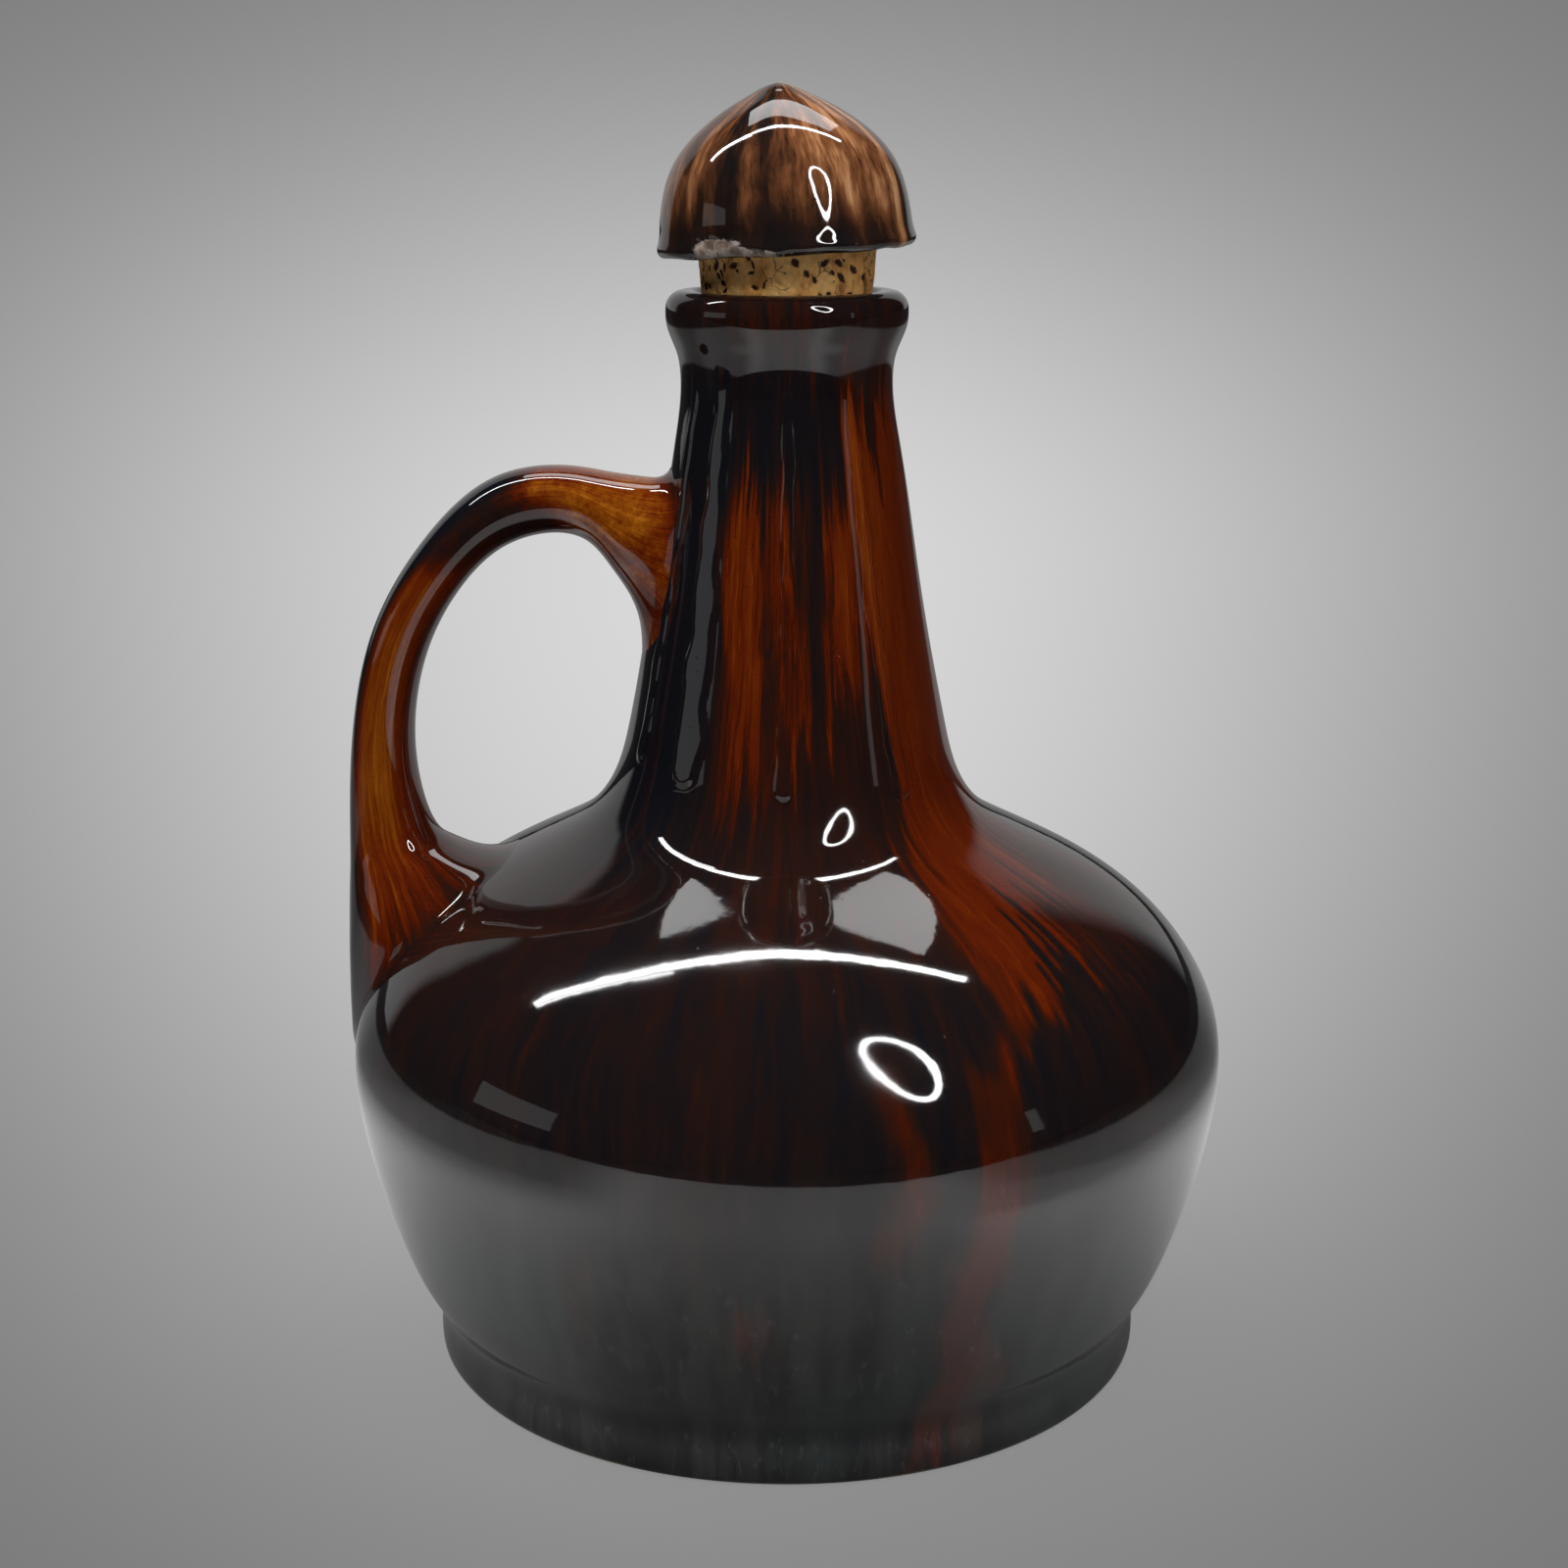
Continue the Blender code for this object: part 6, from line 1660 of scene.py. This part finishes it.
    def make_cork(self, bark: bpy.types.Material) -> bpy.types.Object:
        """Builds the cork, with its pores sunk in.

        Args:
            bark: The cork's finish.

        Returns:
            The piece.
        """
        bottom = self.cork_top - self.cork_length
        corners = [
            (0.0, bottom), (self.cork_end, bottom), (self.cork_radius, self.cork_top), (0.0, self.cork_top),
        ]
        section = resampled(np.array(softened(corners, 1.0 * MM)), 0.30 * MM)
        sheet = turned(section, self.cork_steps)
        ring = section[1:-1]
        angle = whole_turn(self.cork_steps, -math.pi)[None, :]
        chance = np.random.default_rng(4)
        pore = np.zeros((len(ring), self.cork_steps))
        radius, height = ring[:, 0][:, None], ring[:, 1][:, None]
        for _ in range(self.pores):
            centre, level = chance.uniform(-math.pi, math.pi), chance.uniform(bottom, self.cork_top)
            wide, tall = chance.uniform(0.25, 0.95) * MM, chance.uniform(0.3, 1.2) * MM
            lean = chance.uniform(-0.9, 0.9)
            aside = ((angle - centre + math.pi) % math.tau - math.pi) * radius
            aside = aside - (height - level) * lean
            pore = np.maximum(pore, np.exp(-((aside / wide) ** 2) - ((height - level) / tall) ** 2))
        side = 1 - (radius < self.cork_end * 0.93).astype(float)
        pore = pore * side
        sunk = pore * 0.42 * MM + (grown_noise(angle, height, 31, 60, 700.0) * 0.03 + 0.04) * MM
        push_out(sheet.rows, angle, -sunk * side)
        sheet.marks["pores"] = np.stack([pore, pore, pore], axis=-1)
        piece = placed("cork_bung", sheet.mesh("cork_bung"), bark, Body.STOPPER)
        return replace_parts(piece, "cork")


# The fittings that show under the board


def joined(name: str, parts: list[bpy.types.Mesh]) -> bpy.types.Mesh:
    """Several meshes as one, with their seams closed.

    Args:
        name: The new mesh's name.
        parts: The meshes, which are used up.

    Returns:
        The joined mesh, smooth.
    """
    whole = bmesh.new()
    for part in parts:
        whole.from_mesh(part)
        bpy.data.meshes.remove(part)
    bmesh.ops.remove_doubles(whole, verts=whole.verts, dist=1e-7)
    mesh = bpy.data.meshes.new(name)
    whole.to_mesh(mesh)
    whole.free()
    mesh.shade_smooth()
    return mesh


@dataclass
class TurnedFitting:
    """A small piece of a fitting, turned on the lathe, with its corners eased."""

    node: str
    name: str
    place: tuple[float, float]
    outline: tuple[tuple[float, float], ...]
    hollow: bool = False
    ease: float = 0.14 * MM
    steps: int = 56

    def mesh(self) -> bpy.types.Mesh:
        """Turns the piece, at its place.

        Returns:
            The mesh.
        """
        corners = [tuple(corner) for corner in self.outline]
        if self.hollow:
            start = ((corners[0][0] + corners[1][0]) / 2, (corners[0][1] + corners[1][1]) / 2)
            corners = [start, *corners[1:], corners[0], start]
        section = np.array(softened(corners, self.ease))
        sheet = turned(section, self.steps, axis_ends=not self.hollow)
        shift = np.array([*self.place, 0.0])
        sheet.rows = sheet.rows + shift
        if not self.hollow:
            sheet.start_point, sheet.end_point = sheet.start_point + shift, sheet.end_point + shift
        return joined(self.name, [sheet.mesh(self.name + "_sheet")])

    def fit(self, finish: bpy.types.Material, body: Body) -> bpy.types.Object:
        """Builds the piece and fits it in its packed one's place."""
        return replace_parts(placed(self.name, self.mesh(), finish, body), self.node)


@dataclass
class RoundHeadScrew:
    """A brass screw that comes up through the board, with a domed head and a slot along X."""

    node: str
    place: tuple[float, float]
    radius: float
    length: float
    pointed: bool = True
    seat: float = 11.7 * MM
    head_radius: float = 2.4 * MM
    head_height: float = 1.3 * MM
    slot_width: float = 0.7 * MM
    slot_depth: float = 0.6 * MM
    steps: int = 64

    def turned_blank(self) -> Sheet:
        """The screw before its slot is cut, in its own frame, with the head's seat at height 0.

        Returns:
            The blank's sheet.
        """
        edge, crown = 0.36 * MM, self.head_height - 0.36 * MM
        lean = np.radians(np.linspace(0.0, 82.0, 12))
        across = self.head_radius * np.sin(lean) / math.sin(lean[-1])
        dome = np.stack([across, -edge - crown * np.cos(lean)], axis=-1)
        dome[:, 1] += crown * math.cos(lean[-1]) * (np.linspace(0, 1, 12) ** 4)
        taper = 0.35 if self.pointed else 0.8
        shank = [
            (self.head_radius, -0.08 * MM),
            (self.head_radius - 0.08 * MM, 0.0),
            (self.radius, 0.0),
            (self.radius, self.length - self.radius * 1.2),
            (self.radius * taper, self.length - 0.05 * MM),
            (0.0, self.length),
        ]
        return turned(np.vstack([dome, np.array(shank)]), self.steps)

    def make(self, brass: bpy.types.Material) -> bpy.types.Object:
        """Builds the screw.

        Args:
            brass: Its metal.

        Returns:
            The piece.
        """
        blank = in_scene(self.node + "_blank", self.turned_blank().mesh(self.node + "_blank"))
        cutter = bmesh.new()
        bmesh.ops.create_cube(cutter, size=1.0)
        reach, low = 2 * self.head_radius + 1.0 * MM, -self.head_height - 1.0 * MM
        high = self.slot_depth - self.head_height
        scale = Matrix.Diagonal((reach, self.slot_width, high - low, 1.0))
        place = Matrix.Translation((0, 0, (high + low) / 2))
        bmesh.ops.transform(cutter, matrix=place @ scale, verts=cutter.verts)
        saw = in_scene("slot_saw", bpy.data.meshes.new("slot_saw"))
        cutter.to_mesh(saw.data)
        cutter.free()
        cut = blank.modifiers.new("slot", "BOOLEAN")
        cut.operation, cut.solver, cut.object = "DIFFERENCE", "EXACT", saw
        bpy.context.view_layer.update()
        mesh = bpy.data.meshes.new_from_object(blank.evaluated_get(bpy.context.evaluated_depsgraph_get()))
        for piece in (blank, saw):
            bpy.data.objects.remove(piece)
        mesh.name = self.node + "_slotted"
        mesh.transform(Matrix.Translation((*self.place, self.seat)))
        mesh.materials.clear()
        mesh.set_sharp_from_angle(angle=math.radians(32))
        piece = placed(self.node + "_slotted", mesh, brass, Body.JUG)
        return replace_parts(piece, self.node)


@dataclass
class WindingKey:
    """The butterfly key: a bored hub with two rounded wings."""

    top: float = 11.7 * MM
    bore: float = 1.75 * MM
    hub_radius: float = 3.4 * MM
    hub_height: float = 6.4 * MM
    span: float = 23.0 * MM
    thickness: float = 1.4 * MM
    wing_height: float = 7.4 * MM
    wing_middle: float = 7.7 * MM
    bow_angle: float = 100.0
    edge: float = 0.5 * MM

    def wing(self, side: int) -> bpy.types.Mesh:
        """One wing, with rounded edges and slightly dished faces.

        Args:
            side: 1 for the wing towards X, -1 for the other.

        Returns:
            Its mesh.
        """
        rise = self.wing_height / 2
        inner = (1.6 * MM + self.hub_radius) / 2
        bow = arc((self.span / 2 - rise, self.wing_middle), rise, -self.bow_angle, self.bow_angle, 40)
        outline = [(inner, self.wing_middle + rise / 8), (inner, self.wing_middle - rise / 2), *bow]
        line = resampled(np.array([*outline, outline[0]]), 0.35 * MM)[:-1]
        middle = np.array([self.span / 2 - rise * 1.1, self.wing_middle])
        half, levels = self.thickness / 2, []
        for turn in np.radians(np.linspace(-90.0, 90.0, 11)):
            inset = self.edge * (1 - math.cos(turn))
            depth = math.sin(turn) * self.edge + math.copysign(half - self.edge, turn) if turn else 0.0
            levels.append((inset, depth))
        levels = [(self.edge + 1.2 * MM, -half * 0.90), *levels, (self.edge + 1.2 * MM, half * 0.90)]
        away = line - middle
        length = np.linalg.norm(away, axis=1)[:, None]
        rows = []
        for inset, depth in levels:
            ring = middle + away * np.maximum(1 - inset / length, 0.1)
            rows.append(np.stack([side * ring[:, 0], np.full(len(ring), depth), ring[:, 1]], axis=-1))
        made = np.array(rows)
        if side > 0:
            made = made[:, ::-1]
        ends = [np.array([side * middle[0], y * half * 0.86, middle[1]]) for y in (-1, 1)]
        return Sheet(made, start_point=ends[0], end_point=ends[1]).mesh("wing")

    def make(self, brass: bpy.types.Material) -> bpy.types.Object:
        """Builds the key.

        Args:
            brass: Its metal.

        Returns:
            The piece.
        """
        low = self.top - self.hub_height
        outline = (
            (self.bore, low), (self.hub_radius, low), (self.hub_radius, self.top), (self.bore, self.top),
        )
        hub = TurnedFitting("winding_key", "hub", (0.0, 0.0), outline, hollow=True, ease=0.35 * MM).mesh()
        mesh = joined("butterfly_key", [hub, self.wing(1), self.wing(-1)])
        piece = placed("butterfly_key", mesh, brass, Body.WINDER)
        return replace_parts(piece, "winding_key")


@dataclass
class CoilSpring:
    """The plunger's open coil spring, which stretches between the plunger's foot and its guide."""

    place: tuple[float, float] = (25.4 * MM, 30.5 * MM)
    bottom: float = 2.8 * MM
    top: float = 11.4 * MM
    radius: float = 2.3 * MM
    wire: float = 0.28 * MM
    turns: int = 6
    turn_steps: int = 44
    sides: int = 14
    closed_share: float = 0.06
    anchor: float = 0.6 * MM

    def make(self, steel: bpy.types.Material) -> bpy.types.Object:
        """Builds the spring.

        Args:
            steel: Its metal.

        Returns:
            The piece.
        """
        share = np.linspace(0.0, 1.0, self.turns * self.turn_steps + 1)
        turn = math.tau * self.turns * share
        low, high = self.bottom + self.wire, self.top - self.wire
        closed = self.closed_share
        climb = np.interp(share, (0.0, closed, 1 - closed, 1.0), (0.0, 0.035, 0.965, 1.0))
        height = low + (high - low) * climb
        around = whole_turn(self.sides)[None, :]
        wide = self.radius + self.wire * np.cos(around)
        x = self.place[0] + wide * np.cos(turn)[:, None]
        y = self.place[1] + wide * np.sin(turn)[:, None]
        rows = np.stack([x, y, height[:, None] + self.wire * np.sin(around)], axis=-1)
        ends = [rows[k].mean(axis=0) for k in (0, -1)]
        sheet = Sheet(rows[:, ::-1], start_point=ends[0], end_point=ends[1])
        piece = placed("plunger_coil", sheet.mesh("plunger_coil"), steel, None)
        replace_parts(piece, "plunger_spring")
        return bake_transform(piece)


@dataclass
class UnderFittings:
    """The fittings that show from below: the screws, the key, and the plunger with its guide and spring."""

    board_screws: tuple[tuple[float, float], ...] = ((0.0, 52.7), (-45.7, -26.4), (45.7, -26.4))
    movement_screws: tuple[tuple[float, float], ...] = ((-9.8, -18.6), (-9.8, 16.6), (36.8, -18.6))
    plunger_place: tuple[float, float] = (25.4 * MM, 30.5 * MM)
    stem: float = 1.5 * MM
    foot: float = 3.0 * MM
    guide: float = 2.6 * MM
    flange: float = 3.6 * MM
    bore: float = 1.65 * MM

    def make(self, made: dict[Slot, bpy.types.Material]) -> None:
        """Builds the fittings.

        Args:
            made: The finish for each slot.
        """
        brass, steel = made[Slot.BRASS], made[Slot.STEEL]
        for kind, places, radius, length, pointed in (
            ("board_screw", self.board_screws, 1.1 * MM, 10.1 * MM, True),
            ("movement_screw", self.movement_screws, 1.2 * MM, 6.9 * MM, False),
        ):
            for number, (x, y) in enumerate(places, 1):
                RoundHeadScrew(f"{kind}_{number}", (x * MM, y * MM), radius, length, pointed).make(brass)
        WindingKey().make(brass)
        stem = (
            (0.0, 0.3 * MM), (self.foot - 0.4 * MM, 0.3 * MM), (self.foot, 0.7 * MM), (self.foot, 2.5 * MM),
            (self.stem, 2.5 * MM), (self.stem, 22.3 * MM), (self.stem / 2, 22.86 * MM), (0.0, 23.05 * MM),
        )
        stem_piece = TurnedFitting("plunger", "plunger_stem", self.plunger_place, stem, ease=0.25 * MM)
        stem_piece.fit(steel, Body.PLUNGER)
        low, shoulder, high = 11.7 * MM, 15.8 * MM, 16.4 * MM
        guide = (
            (self.bore, low), (self.guide, low), (self.guide, shoulder),
            (self.flange, shoulder), (self.flange, high), (self.bore, high),
        )
        bush = TurnedFitting("plunger_guide", "plunger_bush", self.plunger_place, guide, hollow=True)
        bush.fit(brass, Body.JUG)
        CoilSpring(self.plunger_place).make(steel)


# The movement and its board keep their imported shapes


@dataclass
class Movement:
    """The pieces of the board and the movement, which get their finishes."""

    finishes: dict[Slot, tuple[str, ...]] = field(
        default_factory=lambda: {
            Slot.BOARD: ("base_board",),
            Slot.FIBRE: ("screw_anchor_1", "screw_anchor_2", "screw_anchor_3"),
            Slot.BRASS: (
                "bracket_screw", "comb_screw_1", "comb_screw_2", "crown_wheel", "pinned_cylinder",
                "drive_gear", "worm_wheel", "air_brake",
            ),
            Slot.STEEL: (
                "bedplate", "winding_arbor", "cylinder_arbor", "cylinder_pinion", "comb",
                "governor_pinion", "worm_shaft", "stop_lever", "lever_pin",
            ),
            Slot.BLUED: ("mainspring", "plunger_clip"),
            Slot.ZINC: (
                "spring_housing", "cylinder_post_inner", "cylinder_post_outer", "comb_base",
                "governor_frame", "lever_bracket",
            ),
            Slot.JEWEL: ("jewel",),
        }
    )

    def dress(self, nodes: dict[str, bpy.types.Object], made: dict[Slot, bpy.types.Material]) -> None:
        """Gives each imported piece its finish.

        Args:
            nodes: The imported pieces.
            made: The finish for each slot.
        """
        for slot, names in self.finishes.items():
            for name in names:
                nodes[name].data.materials.clear()
                nodes[name].data.materials.append(made[slot])
                LOG.info("%s: %s", name, slot.value)


# The studio


@dataclass(frozen=True)
class Softbox:
    """A rectangular lamp, which is seen only by the light that it gives."""

    name: str
    place: tuple[float, float, float]
    aim: tuple[float, float, float]
    size: tuple[float, float]
    radiance: float

    def hang(self) -> None:
        """Hangs the lamp in the studio."""
        lamp = bpy.data.lights.new(self.name, "AREA")
        lamp.shape = "RECTANGLE"
        lamp.size, lamp.size_y = self.size
        lamp.energy = self.radiance * math.pi * self.size[0] * self.size[1]
        holder = in_scene(self.name, lamp)
        holder.location = self.place
        direction = Vector(self.aim) - Vector(self.place)
        holder.rotation_euler = direction.to_track_quat("-Z", "Y").to_euler()
        holder.visible_camera = False


@dataclass
class Studio:
    """The camera at the photograph's angle, the pale floor and backdrop, and the soft lamps."""

    camera_place: tuple[float, float, float] = (-0.0006, -0.5032, 0.2445)
    camera_drop: float = math.radians(14.2)
    lens: float = 58.61
    film_width: float = 36.0
    softboxes: tuple[Softbox, ...] = (
        Softbox("strip_lamp", (-0.31, 0.25, 1.35), (-0.31, 0.25, 0.0), (2.02, 0.050), 26.0),
        Softbox("second_strip_lamp", (-0.86, 0.20, 1.35), (-0.86, 0.20, 0.0), (0.92, 0.020), 20.0),
        Softbox("overhead_softbox", (0.05, 0.68, 1.49), (0.0, 0.2, 0.1), (1.07, 0.38), 3.2),
        Softbox("left_softbox", (-1.13, -0.38, 0.30), (0.0, 0.0, 0.16), (0.52, 0.22), 0.38),
        Softbox("right_softbox", (1.05, -0.53, 0.30), (0.0, 0.0, 0.16), (0.07, 0.24), 0.40),
        Softbox("low_softbox", (0.0, 0.0, -0.7), (0.0, 0.0, 0.0), (0.7, 0.7), 3.0),
    )
    ring_place: tuple[float, float, float] = (0.198, -0.275, 0.417)
    ring_aim: tuple[float, float, float] = (0.0, 0.0, 0.10)
    ring_half_size: tuple[float, float] = (0.049, 0.120)
    ring_lean: float = math.radians(-5)
    ring_tube: float = 0.0095
    ring_radiance: float = 22.0
    ring_steps: int = 64
    tube_steps: int = 12
    sun_strength: float = 3.25
    sun_spread: float = math.radians(60)
    sun_turn: tuple[float, float, float] = (math.radians(28), math.radians(-12), 0.0)
    room_dark: float = 0.008
    room_wall: float = 0.40
    floor_gap: float = 0.2 * MM
    floor_opening: float = 71.2 * MM
    paper_finish: StudioPaper = StudioPaper("studio_paper")

    def set_camera(self) -> None:
        """Puts the camera at the photograph's viewing angle."""
        camera = bpy.data.cameras.new("photo_camera")
        camera.lens = self.lens
        camera.sensor_width = self.film_width
        camera.clip_start, camera.clip_end = 0.01, 60.0
        holder = in_scene("photo_camera", camera)
        holder.location = self.camera_place
        holder.rotation_euler = (math.pi / 2 - self.camera_drop, 0.0, 0.0)
        bpy.context.scene.camera = holder

    def lay_floor(self) -> None:
        """Lays the floor, which is open under the jug's foot."""
        rings = (20.0, 4.0, 1.2, 0.4, 0.12, self.floor_opening)
        angle = whole_turn(96, -math.pi)
        rows = [[(r * math.sin(a), -r * math.cos(a), -self.floor_gap) for a in angle] for r in rings]
        mesh = Sheet(np.array(rows)).mesh("studio_floor")
        mesh.materials.append(self.paper_finish.material())
        in_scene("studio_floor", mesh)

    def hang_ring_lamp(self) -> None:
        """Hangs the round lamp in front of the jug, on the right."""
        centre, aim = Vector(self.ring_place), Vector(self.ring_aim)
        ahead = (aim - centre).normalized()
        wide = ahead.cross(Vector((0.0, 0.0, 1.0))).normalized() * -1
        tall = ahead.cross(wide)
        rows = []
        for i in range(self.ring_steps):
            turn, lean = math.tau * i / self.ring_steps, self.ring_lean
            flat = Vector((math.cos(turn) * self.ring_half_size[0], math.sin(turn) * self.ring_half_size[1]))
            flat.rotate(Matrix.Rotation(lean, 2))
            spoke = wide * flat.x + tall * flat.y
            ring = []
            for k in range(self.tube_steps):
                tube = math.tau * k / self.tube_steps
                out = spoke + spoke.normalized() * self.ring_tube * math.cos(tube)
                ring.append(tuple(centre + out + ahead * self.ring_tube * math.sin(tube)))
            rows.append(ring)
        rows.append(rows[0])
        recipe = Recipe("ring_lamp_glow")
        feeds = {"Color": (1.0, 1.0, 1.0, 1.0), "Strength": self.ring_radiance}
        glow = recipe.put("ShaderNodeEmission", feeds)
        mesh = Sheet(np.array(rows)).mesh("ring_lamp")
        mesh.materials.append(recipe.ended(glow.outputs["Emission"]))
        lamp = in_scene("ring_lamp", mesh)
        lamp.visible_camera = False

    def light(self) -> None:
        """Lights the studio."""
        for softbox in self.softboxes:
            softbox.hang()
        self.hang_ring_lamp()
        sun = bpy.data.lights.new("studio_fill", "SUN")
        sun.energy = self.sun_strength
        sun.angle = self.sun_spread
        holder = in_scene("studio_fill", sun)
        holder.rotation_euler = self.sun_turn
        holder.visible_glossy = False
        bpy.context.scene.world = self.paper_finish.room(self.room_dark, self.room_wall)

    def build(self) -> None:
        """Sets the studio up."""
        self.set_camera()
        self.lay_floor()
        self.light()
        bpy.context.scene.view_settings.view_transform = "Standard"
        LOG.info("studio: %d lamps", len(self.softboxes) + 2)


def finishes() -> dict[Slot, bpy.types.Material]:
    """Mixes the finish for each of the material slots.

    Returns:
        The finished materials, by slot.
    """
    brown, fibre = ((0.30, 0.15, 0.065), (0.13, 0.055, 0.022)), ((0.42, 0.27, 0.15), (0.22, 0.12, 0.06))
    brass, steel = ((0.78, 0.54, 0.20), (0.36, 0.21, 0.07)), ((0.56, 0.56, 0.58), (0.24, 0.23, 0.22))
    blued, zinc = ((0.06, 0.09, 0.20), (0.05, 0.04, 0.06)), ((0.46, 0.46, 0.48), (0.24, 0.24, 0.25))
    recipes = {
        Slot.GLAZE: FlowingGlaze("treacle_glaze"),
        Slot.CAP: CapGlaze("copper_streaked_glaze"),
        Slot.CORK: CorkBark("natural_cork"),
        Slot.BOARD: WoodFibre("varnished_board", *brown),
        Slot.FIBRE: WoodFibre("wall_plug_fibre", *fibre),
        Slot.BRASS: WorkedMetal("lacquered_brass", *brass),
        Slot.STEEL: WorkedMetal("bright_steel", *steel),
        Slot.BLUED: WorkedMetal("blued_steel", *blued, 0.2),
        Slot.ZINC: WorkedMetal("cast_zinc", *zinc, 0.42, (900.0,) * 3),
        Slot.JEWEL: RubyBearing("ruby_bearing"),
    }
    return {slot: recipe.material() for slot, recipe in recipes.items()}


def main() -> None:
    """Builds the studio and dresses the jug."""
    logging.basicConfig(level=logging.INFO, format="%(name)s: %(message)s")
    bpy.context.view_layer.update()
    Studio().build()
    made = finishes()
    section = JugSection()
    JugBody(section).make(made[Slot.GLAZE])
    StrapHandle(section).make(made[Slot.GLAZE])
    stopper = Stopper()
    stopper.make_cap(made[Slot.CAP])
    stopper.make_cork(made[Slot.CORK])
    UnderFittings().make(made)
    Movement().dress(frame["nodes"], made)


if __name__ == "__main__":
    main()
